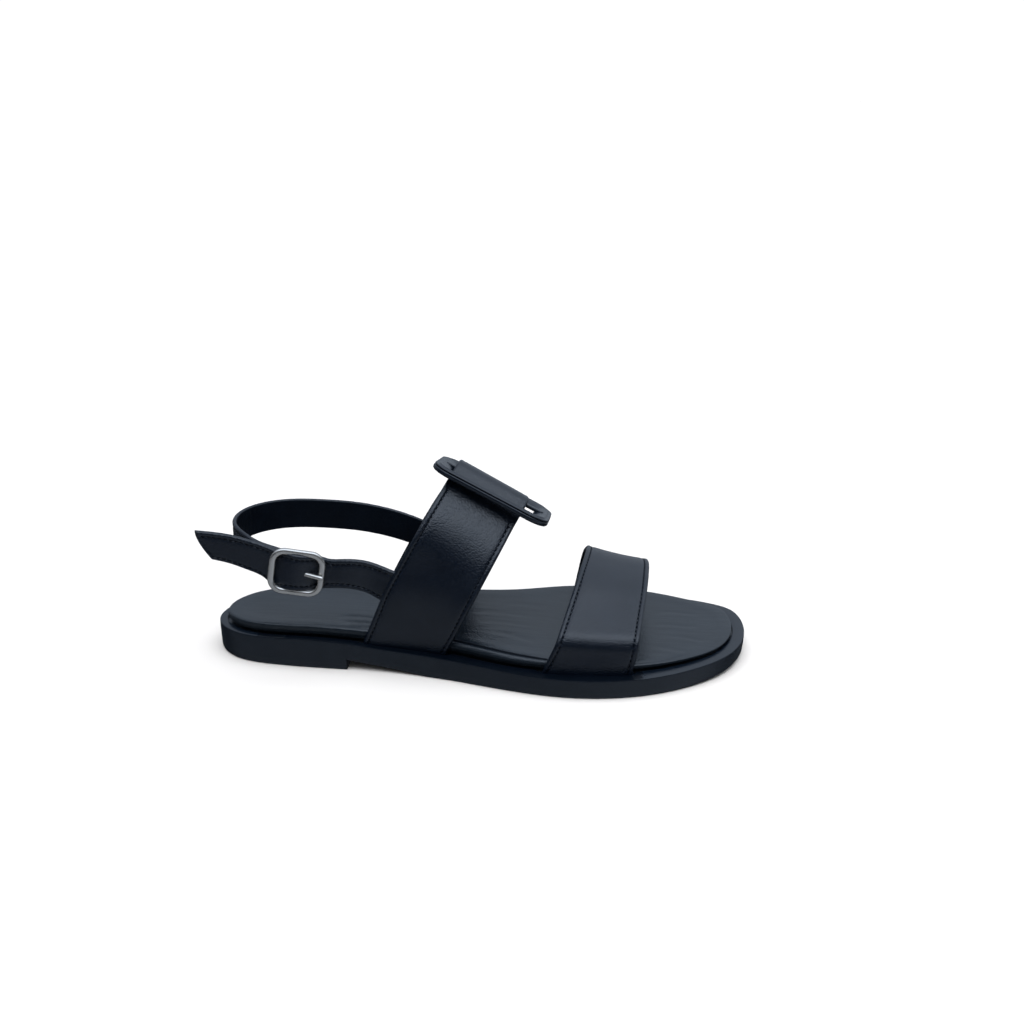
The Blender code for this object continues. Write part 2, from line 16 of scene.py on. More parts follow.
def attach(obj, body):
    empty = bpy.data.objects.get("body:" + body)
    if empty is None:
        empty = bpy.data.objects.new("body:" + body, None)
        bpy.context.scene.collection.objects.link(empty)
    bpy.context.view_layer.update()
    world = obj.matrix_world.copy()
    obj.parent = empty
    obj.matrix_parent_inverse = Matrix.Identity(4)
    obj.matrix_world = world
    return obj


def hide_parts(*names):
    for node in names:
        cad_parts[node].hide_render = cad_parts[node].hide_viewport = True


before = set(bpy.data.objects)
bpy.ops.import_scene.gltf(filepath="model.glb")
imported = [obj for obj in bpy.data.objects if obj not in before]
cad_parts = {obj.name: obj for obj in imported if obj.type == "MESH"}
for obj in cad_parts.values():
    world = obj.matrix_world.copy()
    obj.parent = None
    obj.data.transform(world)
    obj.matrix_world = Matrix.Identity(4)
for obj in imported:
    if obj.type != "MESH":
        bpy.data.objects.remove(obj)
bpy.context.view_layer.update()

MM = 0.001
WELD = 1e-6
FIT_GAP = 0.3
LASTING_GAP = 0.45

# Sole and footbed, one row per section from the back of the heel to the tip of the toe.
SOLE_COLUMNS = ("x", "outer", "inner", "rim", "outer_ledge", "inner_ledge", "bed_rise")
SOLE_SECTIONS = (
    (-129.5, -2.0, -2.0, 14.2, 4.2, 4.2, 4.4),
    (-126.0, -12.8, 9.5, 14.3, 4.2, 4.2, 4.5),
    (-115.5, -22.0, 19.8, 14.5, 4.1, 4.1, 4.7),
    (-99.0, -26.5, 25.8, 14.8, 3.8, 4.0, 4.9),
    (-75.0, -28.9, 28.6, 15.0, 4.0, 4.2, 5.1),
    (-45.0, -31.2, 29.2, 12.3, 6.3, 4.5, 5.6),
    (-15.0, -36.8, 30.0, 11.0, 7.0, 4.5, 5.6),
    (12.0, -44.6, 35.5, 10.0, 6.4, 4.2, 5.0),
    (35.0, -49.6, 44.8, 9.4, 8.2, 3.8, 4.0),
    (60.0, -49.7, 48.6, 9.3, 8.4, 3.9, 3.2),
    (82.0, -44.2, 46.6, 9.4, 7.6, 4.4, 2.6),
    (102.0, -33.8, 41.7, 9.7, 6.7, 5.7, 2.0),
    (116.5, -21.0, 35.3, 10.0, 6.2, 6.6, 1.6),
    (124.8, -5.5, 26.0, 10.3, 6.2, 6.5, 1.4),
    (127.3, 10.5, 10.5, 10.4, 6.2, 6.2, 1.3),
)
HEEL_X = SOLE_SECTIONS[0][0]
TOE_X = SOLE_SECTIONS[-1][0]
SOLE_STEPS = 230
SLOPE_TURN = 1e-3
SOLE_RUNGS = 4
SOLE_SHARP = math.radians(42.0)

# Side of the sole from the floor up: distance in from the outline, and share of the height.
SOLE_WALL = (
    (1.6, 0.0), (1.15, 0.006), (0.85, 0.018), (0.65, 0.04), (0.5, 0.07), (0.35, 0.12), (0.2, 0.35),
    (0.06, 0.6), (0.0, 0.8), (0.0, 0.93), (0.02, 0.965), (0.07, 0.985), (0.16, 0.996), (0.32, 1.0),
)
SPRING_START_X = 78.0
TOE_SPRING = 2.6

# The heel ends in an upright breast, and the arch slopes from its top down to the floor.
BREAST_X = -63.0
BREAST_PAIR = 0.02
BREAST_CLEAR_TURN = 0.004
ARCH_END_X = -24.0
ARCH_RISE = 4.8

# Groove beside the footbed, wider where a strap goes down into it, and the seat under the footbed.
GROOVE_WIDTH = 0.45
GROOVE_STRAP = 2.9
GROOVE_DEPTH = 1.5
GROOVE_FADE = (0.4, 1.6)
SEAT_LEVEL = FIT_GAP - 0.05

# The top of the rim is painted with darker, duller rubber as painted shade, from beside the heel to the front
# of the vamp strap, with a half shaded stretch at each end; the heel's upright breast gets the same painted
# shade.
PAINTED_SHADE_SHARE = 0.99
PAINTED_SHADE_X = (-106.0, 75.0)
DEEP_SHADE_X = (-92.0, 71.0)

# Top of the footbed: a hollow at the heel, and an inner side that lifts at the arch and the ball.
HEEL_DISH = 1.2
HEEL_DISH_X = -85.0
HEEL_DISH_REACH = 45.0
ARCH_LIFT = 3.0
ARCH_LIFT_X = -20.0
ARCH_LIFT_REACH = 55.0
FORE_LIFT = 1.6
FORE_LIFT_X = 60.0
FORE_LIFT_REACH = 45.0

# Footbed from its underside, round its wrapped edge and on to its top: distance in from its outline,
# and share of its rise.
BED_EDGE = (
    (1.3, 0.0), (1.0, 0.02), (0.74, 0.07), (0.52, 0.15), (0.32, 0.25), (0.14, 0.36), (0.03, 0.47),
    (0.0, 0.57), (0.02, 0.68), (0.08, 0.78), (0.2, 0.86), (0.42, 0.92), (0.72, 0.955), (0.95, 0.972),
    (1.15, 0.982), (1.35, 0.989), (1.6, 0.994), (1.95, 0.997), (2.3, 1.0), (2.38, 1.0), (2.65, 1.0),
    (3.1, 1.0), (3.7, 1.0),
)
BED_INSETS = (4.6, 5.6, 6.6, 7.6, 8.6, 9.6, 10.6)
BED_RUNGS = 44
UNDER_RUNGS = 2
PUFF_RISE = 0.25
PUFF_INSET = 5.0
PUFF_REACH = 3.0
PUFF_SHARE = 0.97

# At the waist the outer edge is a wider roll, with a crease behind it (inset, depth); inside the crease the
# dark, dull painted shade material is painted on.
WAIST_X = (-24.0, -8.0, 20.0, 40.0)
ROLL_WIDTH = 0.8
ROLL_RISE = (0.5, 1.0)
WAIST_CREASE = ((0.42, 0.0), (0.95, 0.25), (1.35, 0.5), (1.6, 0.75), (1.95, 1.25), (2.3, 1.6), (2.38, 0.0))
WAIST_SHARE = 0.9
CREASE_SHADE_FROM = 0.3
CREASE_SHADE_INSETS = (1.95, 2.3)

# In front of the vamp strap a faint crease follows the outer edge.
TIP_X = (72.0, 76.0, 84.0, 104.0)
TIP_CREASE_INSET = 2.2
TIP_CREASE_WIDTH = 0.55
TIP_CREASE_DEPTH = 0.45

# Soft creases in the footbed's cover: from (x, y) to (x, y), half width and depth. Each sways from
# side to side, fades at both ends and has a low ridge beside it.
BED_CREASES = (
    (-66.0, -19.0, -46.0, -14.5, 1.5, 0.33),
    (-70.0, -12.0, -44.0, -8.0, 1.9, 0.30),
    (-58.0, -22.5, -38.0, -20.5, 1.2, 0.27),
    (-6.0, 4.0, 22.0, 7.0, 1.8, 0.30),
    (-2.0, -6.0, 24.0, -3.5, 1.5, 0.27),
    (4.0, -16.0, 26.0, -20.0, 2.0, 0.33),
    (10.0, 15.0, 30.0, 18.0, 1.6, 0.24),
    (82.0, 4.0, 104.0, 5.5, 1.8, 0.27),
    (86.0, -8.0, 108.0, -9.5, 1.5, 0.24),
    (80.0, -20.0, 98.0, -22.5, 1.8, 0.27),
    (84.0, 18.0, 106.0, 20.0, 1.7, 0.225),
)
CREASED_SHARE = 0.99
CREASE_FADE = (-0.1, 0.3, 0.7, 1.1)
CREASE_SWAY = 1.1
CREASE_TURNS = 5.0
RIDGE_SHARE = 0.6
RIDGE_OFF = 1.9

# Wide straps.
STRAP_WALL = 2.2
FOLD_STEPS = 25
RUN_STEP = 0.6
SOFTENING = 6
TUCK = 1.2
LINED_IN = 0.7

# Instep strap, leaning back from the upright. A row is a fold: its side and its height at the rear
# and front edge, its radius, and its shift along the foot at the rear and front edge.
INSTEP_WIDTH = 36.3
INSTEP_LEAN = math.radians(28.0)
INSTEP_REAR = -55.5
INSTEP_FRONT = -19.2
INSTEP_FOLDS = (
    (-27.0, -34.5, 14.0, 32.0, 60.0, -2.6, -1.1),
    (-26.0, -27.5, 52.0, 52.0, 34.0, -2.9, -1.2),
    (-9.0, -13.0, 67.6, 67.4, 60.0, -1.0, 0.0),
    (2.0, -2.8, 76.4, 77.1, 3.5, 0.2, 1.4),
    (8.2, 3.4, 75.5, 76.2, 3.5, 1.0, 1.4),
    (16.0, 11.2, 64.6, 65.2, 5.0, 2.6, 1.0),
    (22.8, 21.8, 62.2, 62.2, 7.0, 2.0, 0.0),
    (26.8, 26.8, 46.0, 46.0, 25.0, 1.0, 0.0),
    (26.6, 26.6, 18.0, 28.0, 60.0, 0.0, 0.0),
)

# The covered buckle's bars cross the instep strap at a slant, measured along the strap. The turned
# edge is pressed flat between them. The stitching stops at the near bar and goes on past the far bar,
# on the rear edge and on the front edge.
BAR_SLANT = 0.44
BARS_RUN = (90.0, 92.5, 125.0, 128.0)
BARS_FLATTEN = 0.85
INSTEP_SEWN_BREAKS = ((91.0, 127.0), (75.5, 111.0))

# Vamp strap. A row is a fold: its place at the rear edge and at the front edge, and its radius.
VAMP_WIDTH = 36.0
VAMP_OUTER_X = (29.0, 70.3)
VAMP_INNER_X = (43.0, 78.0)
VAMP_FOLDS = (
    (36.0, -42.7, 25.5, 73.2, -40.7, 24.0, 7.0),
    (45.2, -10.0, 44.8, 78.0, -10.0, 38.6, 55.0),
    (49.2, 16.0, 47.4, 80.0, 15.0, 40.4, 40.0),
    (47.4, 44.7, 33.0, 78.2, 43.5, 28.0, 13.0),
)
VAMP_SAG = (0.0, 0.8, 1.1, 0.4)

# Soft waves in the straps: height, place along the strap, reach, length across it over a turn, phase.
INSTEP_WAVES = ((0.22, 38.0, 7.0, 11.0, 0.6), (0.16, 22.0, 6.0, 9.0, 2.0))
VAMP_WAVES = ((0.2, 46.0, 9.0, 8.5, 0.4),)
WAVE_EDGE = (2.0, 6.0)
VAMP_HOLLOW = 0.2
VAMP_HOLLOW_RUN = (6.0, 12.0, 15.0, 30.0)
VAMP_HOLLOW_SWAY = (0.8, 8.0)
VAMP_DENT = 0.25
VAMP_DENT_RUN = (58.0, 6.0)
VAMP_DENT_WIDTH = (20.0, 8.0)

# Turned edge and stitching, measured in from a strap's edge.
STITCH_IN = 2.4
STITCH_PITCH = 2.5
STITCH_LENGTH = 1.9
THREAD = 0.24
THREAD_SIDES = 7
EDGE_ROLL = 0.2
SEWN_GROOVE = 0.34
SEWN_WIDTH = 0.42
SEWN_PULL = 0.2
PANEL_RISE = 0.2
PANEL_REACH = 2.2
EDGE_COLUMNS = (
    0.0, 0.05, 0.14, 0.28, 0.46, 0.7, 1.0, 1.35, 1.65, 1.9,
    2.1, 2.25, 2.4, 2.55, 2.7, 2.9, 3.15, 3.5, 4.0, 4.7,
)
COLUMN_STEP = 1.1
COLUMN_REST = 0.4

# One stitch: place along it, swell and height, as it comes up out of the leather and sinks again.
STITCH_RISE = ((-0.5, 0.25, -0.32), (-0.46, 0.7, -0.16), (-0.3, 1.0, 0.04))
STITCH_SINK = tuple((-at, swell, lift) for at, swell, lift in STITCH_RISE[::-1])
STITCH_FORM = (*STITCH_RISE, (0.0, 1.05, 0.12), *STITCH_SINK)
STITCH_AIM = 0.3

# Covered buckle. Its section is (distance in from the outline, height): the outer side with a seam
# of two fine ridges on its top edge, a dish down to the window, and the underside.
COVERED_ARC_STEPS = 16
COVERED_RUN_STEPS = 40
COVERED_LENGTH = 59.7
COVERED_WIDTH = 40.0
COVERED_CORNER = 9.5
COVERED_INNER_CORNER = 3.6
COVERED_AT = (4.24, 2.6, 80.65)
COVERED_LEAN = math.radians(26.8)
COVERED_TURN = math.radians(-9.7)
COVERED_YAW = math.radians(-7.7)
COVERED_BAR = 8.5
COVERED_REAR_EXTRA = 1.5
COVERED_MID_BAR = (2.6, 1.8)
COVERED_MID_LIFT = 1.1
COVERED_MID_STEPS = 40
COVERED_MID_SIDES = 24
COVERED_MID_SQUARE = 4.0
COVERED_SIDE = (
    (0.22, -1.3), (0.08, -1.0), (0.0, -0.6), (0.0, -0.1), (0.05, 0.15), (0.2, 0.32), (0.5, 0.4),
    (0.95, 0.44), (1.15, 0.54), (0.95, 0.66), (0.55, 0.72), (0.34, 0.86), (0.28, 1.06), (0.36, 1.26),
    (0.56, 1.42), (0.84, 1.48), (1.1, 1.44), (1.35, 1.4), (1.6, 1.4), (1.85, 1.46), (2.1, 1.6),
    (2.35, 1.8), (2.65, 1.94), (3.0, 1.96), (3.3, 1.88), (3.55, 1.76), (3.8, 1.7), (4.1, 1.68),
)
DISH_INSETS = (4.4, 8.2, 0.36)
DISH_START = 2.8
DISH_REACH = 5.7
DISH_TOP = 1.72
DISH_DROP = 2.2
DISH_POWER = 2.6
COVERED_UNDER = (
    (8.34, -0.15), (8.48, -0.4), (8.5, -0.62), (8.38, -0.92), (8.1, -1.22), (7.6, -1.5), (6.9, -1.72),
    (5.6, -1.88), (4.0, -1.96), (1.8, -2.0), (1.2, -1.96), (0.76, -1.8), (0.44, -1.56),
)

# Sling buckle: along runs forward on the strap, up across it, out away from the foot.
SLING_BUCKLE_AT = (-84.6, -27.5, 49.6)
SLING_BUCKLE_ALONG = (1.0, 0.10, -0.16)
FRAME_LENGTH = 25.6
FRAME_HEIGHT = 22.5
FRAME_CORNER = 7.0
FRAME_WIRE = 1.4
FRAME_SECTION = (2 * FRAME_WIRE + 0.1, 2 * FRAME_WIRE - 0.3)
FRAME_OUT = 1.8
FRAME_CORNER_STEPS = 14
FRAME_STEP = 0.6
FRAME_SIDES = 20
FRAME_SQUARE = 2.5
BAR_WIRE = 1.0
BAR_OUT = -1.4
BAR_STEP = 0.5
WIRE_SIDES = 14
BAR_DIP = (0.5, 2.0)  # from the frame's rail inwards and down, on the way to the bar's level
BAR_FOOT = 1.5
PRONG_WIRE = 1.1
PRONG_END = 14.2
PRONG_TIP = 6
PRONG_TIP_ROUND = 0.97
PRONG_START = math.radians(-40)
PRONG_STEPS = 30
PRONG_GAP = 0.6

# Sling strap, sewn to the instep strap's inner wall (x, z) and then free of it.
SLING_WIDTH = 15.2
SLING_WALL = 2.0
LOOP_WALL = 1.3
LOOP_TAPER = (16.0, 11.0)
LOOP_DEGREES = (-90, 100, 9)
WALL_BITE = 1.0
SLING_SEWN = ((-26.0, 45.1), (-33.5, 48.5))
SLING_FREE = (
    (-50.0, 27.2, 53.3),
    (-65.0, 28.6, 55.5),
    (-81.0, 28.0, 56.8),
    (-97.0, 24.2, 58.1),
    (-110.0, 16.4, 58.6),
    (-117.0, 5.6, 58.4),
    (-117.0, -6.4, 57.9),
    (-110.5, -17.0, 57.1),
)
SLING_STEP = 0.6
SLING_MARGINS = (8.0, 18.0)
NARROW_EDGE = 0.7

# Sling behind the buckle: place along it, height of the strap's middle, and distance behind the loop.
SLING_BEHIND = ((-17.0, 2.4, 1.4), (-10.0, 1.3, 0.7), (-4.0, 0.4, 0.0))

# Wrinkles in the sling's lining where it bends round the heel.
WRINKLE_SHARE = 0.66
WRINKLE_REACH = 16.0
WRINKLE_PITCH = 2.7
WRINKLE_DEPTH = 0.14
WRINKLE_SWAY = (0.8, 2.5)
WRINKLE_EDGE = (0.3, 2.5)

# Tab strap on the outer wall (x, middle, width), free of it (x, y, middle, width), and from there
# through the buckle to its tip (along, middle, width).
TAB_WALL = 2.2
TAB_UNDER_BAR = -2.1
TAB_HUMP = 4.1
TAB_HUMP_REACH = 11.0
TAB_SEWN = ((-33.0, 38.4, 20.0), (-39.5, 41.1, 18.8))
TAB_FREE = ((-52.0, -23.8, 46.2, 16.2), (-62.0, -25.2, 48.4, 14.6))
TAB_COURSE = (
    (13.0, 0.3, 15.2),
    (5.0, 0.4, 17.4),
    (0.0, 0.5, 17.7),
    (-5.0, -0.2, 18.8),
    (-8.5, -0.8, 19.0),
    (-12.7, 1.2, 16.6),
    (-17.0, 3.2, 15.2),
    (-23.8, 4.7, 14.7),
    (-29.7, 5.9, 14.1),
    (-38.9, 6.4, 13.0),
)
TAB_CLOSE_END = -15.0
TAB_CLOSE_STOPS = 15
TAB_FAR_STOPS = (-22.0, -30.0)
TAB_STEP = 0.5
TAB_MARGINS = (10.0, 4.0)
TIP_CUT = 8.9
TIP_BOW = 1.6

# Grain: the noise that warps its cells and the finer noise on them, as shares of its scale, and
# the levels of the broad noise that make the tones and the gloss.
WARP_SCALE = 0.35
WARP_REACH = 0.6
CELL_SMOOTH = 0.35
FINE_SCALE = 2.2
FINE_SHARE = 0.5
TONE_LEVELS = (0.32, 0.7)
GLOSS_LEVELS = (0.3, 0.7)
STREAK_SCALE = (45.0, 380.0, 380.0)
STEEL_GLOSS = (0.07, 0.18)

# Stage and studio light. The light is given by the height of a direction (its z), in front of the
# shoe and behind it, and grows from the heel end to the toe end.
FLOOR_REACH = 8.0
FLOOR_TONE = (0.72, 0.63, 0.545)
STAGE_SIDES = 96
STAGE_RINGS = 24
SHELL_LIFTS = (-0.02, math.pi / 2 - 0.05)
SHELL_IN = 0.1
BACKDROP_GLOW = 1.05
FRONT_LIGHT = (
    (-1.0, 0.32), (-0.3, 0.32), (-0.08, 0.02), (0.32, 0.02), (0.58, 0.55), (0.79, 2.2), (0.93, 2.5),
    (0.98, 1.8), (1.0, 1.3),
)
BACK_LIGHT = (
    (-1.0, 0.05), (-0.28, 0.05), (-0.14, 0.36), (0.1, 0.38), (0.3, 0.41), (0.55, 0.7), (0.8, 0.85),
    (0.92, 1.05), (1.0, 1.3),
)
SIDE_BLEND = 0.35
LIGHT_TINT = (0.80, 0.91, 1.06)
HEEL_END_LIGHT = 0.62
TOE_END_LIGHT = 1.55
SUN_POWER = 2.6
SUN_ANGLE = math.radians(60.0)
SUN_WAY = (0.0, -0.1, 0.99)

# Camera, found by fitting the photographed outline.
CAMERA_AZIMUTH = math.radians(2.792)
CAMERA_ELEVATION = math.radians(20.472)
CAMERA_ROLL = math.radians(0.4615)
CAMERA_TARGET = (13.148, 0.0, 70.983)
CAMERA_DISTANCE = 581.875
CAMERA_FOCAL_PX = 1232.416
IMAGE_PX = 1024
SENSOR_MM = 36.0


# Lines.


def spline(knots, values):
    """Natural cubic spline through the values at the knots, as a function."""
    knots = np.asarray(knots, float)
    values = np.asarray(values, float)
    step = np.diff(knots)
    count = len(knots)
    matrix = np.eye(count)
    turns = np.zeros(count)
    for i in range(1, count - 1):
        matrix[i, i - 1 : i + 2] = step[i - 1], 2 * (step[i - 1] + step[i]), step[i]
        rise = (values[i + 1] - values[i]) / step[i]
        turns[i] = 6 * (rise - (values[i] - values[i - 1]) / step[i - 1])
    bend = np.linalg.solve(matrix, turns)

    def at(where):
        where = np.clip(where, knots[0], knots[-1])
        i = np.clip(np.searchsorted(knots, where) - 1, 0, count - 2)
        after = (where - knots[i]) / step[i]
        before = 1 - after
        curved = (before**3 - before) * bend[i] + (after**3 - after) * bend[i + 1]
        return before * values[i] + after * values[i + 1] + curved * step[i] ** 2 / 6

    return at


def lengths(points):
    """Distance along a polyline at each of its points."""
    return np.concatenate([[0], np.cumsum(np.linalg.norm(np.diff(points, axis=0), axis=1))])


def on_line(line, along, stops):
    """Points of a polyline at the given distances along it."""
    return np.stack([np.interp(stops, along, line[:, axis]) for axis in range(3)], axis=-1)


def curve_at(points, stops):
    """Points of the smooth curve through the points, at the given distances along its polyline."""
    along = lengths(points)
    return np.column_stack([spline(along, points[:, axis])(stops) for axis in range(3)])


def unit(vectors):
    return vectors / np.maximum(np.linalg.norm(vectors, axis=-1, keepdims=True), 1e-12)


def smooth_step(low, high, value):
    share = np.clip((value - low) / (high - low), 0, 1)
    return share * share * (3 - 2 * share)


def window(stops, value):
    """1 between the two middle stops, fading to 0 at the two outer ones."""
    return smooth_step(stops[0], stops[1], value) * (1 - smooth_step(stops[2], stops[3], value))


def bump_at(value, centre, reach):
    return np.exp(-(((value - centre) / reach) ** 2))


def folded_line(corners, radii):
    """Polyline along the corners with each inner corner rounded to its radius."""
    corners = [Vector(corner) for corner in corners]
    line = [corners[0]]
    for before, corner, after, radius in zip(corners, corners[1:], corners[2:], radii):
        back = before - corner
        ahead = after - corner
        half = back.angle(ahead) / 2
        reach = min(radius / math.tan(half), 0.48 * back.length, 0.48 * ahead.length)
        radius = reach * math.tan(half)
        towards = (back.normalized() + ahead.normalized()).normalized()
        centre = corner + towards * radius / math.sin(half)
        first = corner + back.normalized() * reach - centre
        last = corner + ahead.normalized() * reach - centre
        for k in range(FOLD_STEPS):
            line.append(centre + first.slerp(last, k / (FOLD_STEPS - 1)) * radius)
    line.append(corners[-1])
    return np.array(line)


def refine(lines, step, passes):
    """Splits the long stretches of matching polylines alike, then softens them along their length."""
    longest = np.linalg.norm(np.diff(lines, axis=1), axis=2).max(axis=0)
    pieces = []
    for i, length in enumerate(longest):
        count = max(1, math.ceil(length / step))
        share = np.arange(count)[None, :, None] / count
        pieces.append(lines[:, i : i + 1] * (1 - share) + lines[:, i + 1 : i + 2] * share)
    pieces.append(lines[:, -1:])
    fine = np.concatenate(pieces, axis=1)
    even = []
    for line in fine:
        along = lengths(line)
        even.append(on_line(line, along, np.linspace(0, along[-1], len(line))))
    fine = np.array(even)
    for _ in range(passes):
        fine[:, 1:-1] = (fine[:, :-2] + 2 * fine[:, 1:-1] + fine[:, 2:]) / 4
    return fine


def even_lines(lines, step):
    """Smooth lines with the same number of even steps in each."""
    count = int(max(lengths(line)[-1] for line in lines) / step)
    made = []
    for line in lines:
        dense = curve_at(line, np.linspace(0, lengths(line)[-1], 4 * count))
        run = lengths(dense)
        made.append(on_line(dense, run, np.linspace(0, run[-1], count)))
    return np.array(made)


# Meshes.


def make_mesh(name, points, faces, slots=None):
    """Smooth shaded mesh object from points in millimetres; slots holds a material for each face."""
    mesh = bpy.data.meshes.new(name)
    mesh.from_pydata((np.asarray(points) * MM).tolist(), [], faces)
    if slots is not None:
        mesh.polygons.foreach_set("material_index", np.asarray(slots, np.int32))
    mesh.update()
    mesh.shade_smooth()
    thing = bpy.data.objects.new(name, mesh)
    bpy.context.scene.collection.objects.link(thing)
    return thing


def make_solid(name, points, faces, slots=None):
    """Closed mesh object: points that coincide are welded and every face is turned outwards."""
    thing = make_mesh(name, points, faces, slots)
    shape = bmesh.new()
    shape.from_mesh(thing.data)
    bmesh.ops.remove_doubles(shape, verts=shape.verts, dist=WELD)
    bmesh.ops.dissolve_degenerate(shape, edges=shape.edges, dist=WELD / 10)
    bmesh.ops.recalc_face_normals(shape, faces=shape.faces)
    shape.to_mesh(thing.data)
    shape.free()
    thing.data.shade_smooth()
    return thing


def ring_faces(rings, size, closed=False):
    """Quads between rings of points that follow one another."""
    faces = []
    for i in range(rings if closed else rings - 1):
        low = i * size
        high = (i + 1) % rings * size
        for k in range(size):
            j = (k + 1) % size
            faces.append((low + k, low + j, high + j, high + k))
    return faces


def ribbon(name, face, wall, outer, inner, round_end=False):
    """Strap with rounded edges. face is its inner side as (across, along, xyz); outer and inner are
    heights of relief on its two sides. Returns it with its outer surface, the way out of that, and
    each place's distance from the edge."""
    across, along = face.shape[:2]
    out = unit(np.cross(np.gradient(face, axis=0), np.gradient(face, axis=1)))
    steps = np.linalg.norm(np.diff(face, axis=0), axis=2)
    widths = np.concatenate([np.zeros((1, along)), np.cumsum(steps, axis=0)])
    edge = np.minimum(widths, widths[-1] - widths)
    runs = np.array([lengths(line) for line in face])
    if round_end:
        edge = np.minimum(edge, runs[:, -1:] - runs)
    half = np.broadcast_to(wall, along)[None, :] / 2
    swell = np.sqrt(1 - (1 - np.clip(edge / half, 0, 1)) ** 2)
    middle = face + out * half[..., None]
    high = middle + out * (half * swell + outer(edge, runs, widths))[..., None]
    low = middle - out * (half * swell + inner(edge, runs, widths))[..., None]
    size = 2 * across - 2
    rings = np.concatenate([high, low[-2:0:-1]], axis=0).transpose(1, 0, 2)
    faces = ring_faces(along, size)
    lined = edge.max(axis=1) > LINED_IN
    slots = ([0] * across + [int(lined[size - k]) for k in range(across, size)]) * (along - 1)
    for base in (0, (along - 1) * size):
        for k in range(across - 1):
            loop = (k, k + 1, (size - k - 1) % size, (size - k) % size)
            loop = tuple(base + corner for corner in dict.fromkeys(loop))
            if len(loop) > 2:
                faces.append(loop)
                slots.append(0)
    return make_solid(name, rings.reshape(-1, 3), faces, slots), (high, out, edge)


def sweep(name, path, section, out, closed):
    """Bar with a section of (sideways, outward) offsets carried along a path."""
    path = np.asarray(path, float)
    if closed:
        way = unit(np.roll(path, -1, axis=0) - np.roll(path, 1, axis=0))
    else:
        way = unit(np.gradient(path, axis=0))
    out = np.broadcast_to(np.asarray(out, float), path.shape)
    side = unit(np.cross(way, out))
    out = np.cross(side, way)
    section = np.asarray(section, float)
    if section.ndim == 2:
        section = np.broadcast_to(section, (len(path), *section.shape))
    rings = path[:, None] + side[:, None] * section[:, :, :1] + out[:, None] * section[:, :, 1:2]
    size = section.shape[1]
    faces = ring_faces(len(path), size, closed)
    if not closed:
        faces.append(tuple(range(size)))
        faces.append(tuple(range((len(path) - 1) * size, len(path) * size)))
    return make_solid(name, rings.reshape(-1, 3), faces)


def round_section(width, height, count=16, power=2.0):
    """Points of a rounded bar's section; a higher power makes it squarer."""
    angle = np.linspace(0, 2 * math.pi, count, endpoint=False)
    across = np.sign(np.cos(angle)) * np.abs(np.cos(angle)) ** (2 / power)
    above = np.sign(np.sin(angle)) * np.abs(np.sin(angle)) ** (2 / power)
    return np.column_stack([across * width / 2, above * height / 2])


def corner_arcs(length, width, radius, steps):
    """The four rounded corners of a rectangle with its long side along X, as lines of points."""
    arcs = []
    for corner, (sx, sy) in enumerate(((1, 1), (-1, 1), (-1, -1), (1, -1))):
        angle = math.pi / 2 * (corner + np.arange(steps) / (steps - 1))
        x = sx * (length / 2 - radius) + radius * np.cos(angle)
        y = sy * (width / 2 - radius) + radius * np.sin(angle)
        arcs.append(np.column_stack([x, y, np.zeros(steps)]))
    return arcs


def rounded_frame(length, width, radius, steps, run):
    """Rounded rectangle with a point about every run along its straight sides."""
    line = np.concatenate(corner_arcs(length, width, radius, steps))
    filled = []
    for here, there in zip(line, np.roll(line, -1, axis=0)):
        count = max(1, round(np.linalg.norm(there - here) / run))
        filled += [here + (there - here) * k / count for k in range(count)]
    return np.array(filled)


def frame_ring(length, width, radius):
    """Rounded rectangle with the same number of points whatever its size."""
    arcs = corner_arcs(length, width, radius, COVERED_ARC_STEPS)
    share = np.linspace(0, 1, COVERED_RUN_STEPS + 2)[1:-1, None]
    ring = []
    for arc, following in zip(arcs, [*arcs[1:], arcs[0]]):
        ring += [arc, arc[-1] * (1 - share) + following[0] * share]
    return np.concatenate(ring)


# Sole and footbed.


def around(x):
    """Angle that stands for a place along the sole, so that both ends come out round."""
    return np.arccos(np.clip(1 - 2 * (x - HEEL_X) / (TOE_X - HEEL_X), -1, 1))


SOLE_TABLE = np.array(SOLE_SECTIONS)
SOLE_CURVES = {
    name: spline(around(SOLE_TABLE[:, 0]), SOLE_TABLE[:, column])
    for column, name in enumerate(SOLE_COLUMNS)
}


def sole_at(name, x):
    return SOLE_CURVES[name](around(np.asarray(x, float)))


def ring_of(outer, inner):
    """One value per point of an outline that runs heel, outer side, toe, inner side."""
    return np.concatenate([outer, inner[-2:0:-1]])


def sole_turns():
    """Places along the sole, with a close pair where the heel's breast drops to the floor."""
    even = np.linspace(0, math.pi, SOLE_STEPS + 1)
    pair = [float(around(BREAST_X - BREAST_PAIR)), float(around(BREAST_X + BREAST_PAIR))]
    even = [turn for turn in even if abs(turn - np.mean(pair)) > BREAST_CLEAR_TURN]
    return np.array(sorted([*even, *pair]))


TURNS = sole_turns()
HALF_RING = len(TURNS) - 1


def sole_outline():
    """Points of the outline, their outward directions and the ledge beside each."""
    x = HEEL_X + (TOE_X - HEEL_X) * (1 - np.cos(TURNS)) / 2
    slope_x = (TOE_X - HEEL_X) * np.sin(TURNS) / 2
    after = np.clip(TURNS + SLOPE_TURN, 0, math.pi)
    before = np.clip(TURNS - SLOPE_TURN, 0, math.pi)
    outs = []
    for name, sign in (("outer", 1), ("inner", -1)):
        slope_y = (SOLE_CURVES[name](after) - SOLE_CURVES[name](before)) / (after - before)
        outs.append(unit(sign * np.column_stack([slope_y, -slope_x])))
    y = ring_of(SOLE_CURVES["outer"](TURNS), SOLE_CURVES["inner"](TURNS))
    ledge = ring_of(SOLE_CURVES["outer_ledge"](TURNS), SOLE_CURVES["inner_ledge"](TURNS))
    return np.column_stack([ring_of(x, x), y]), ring_of(*outs), ledge


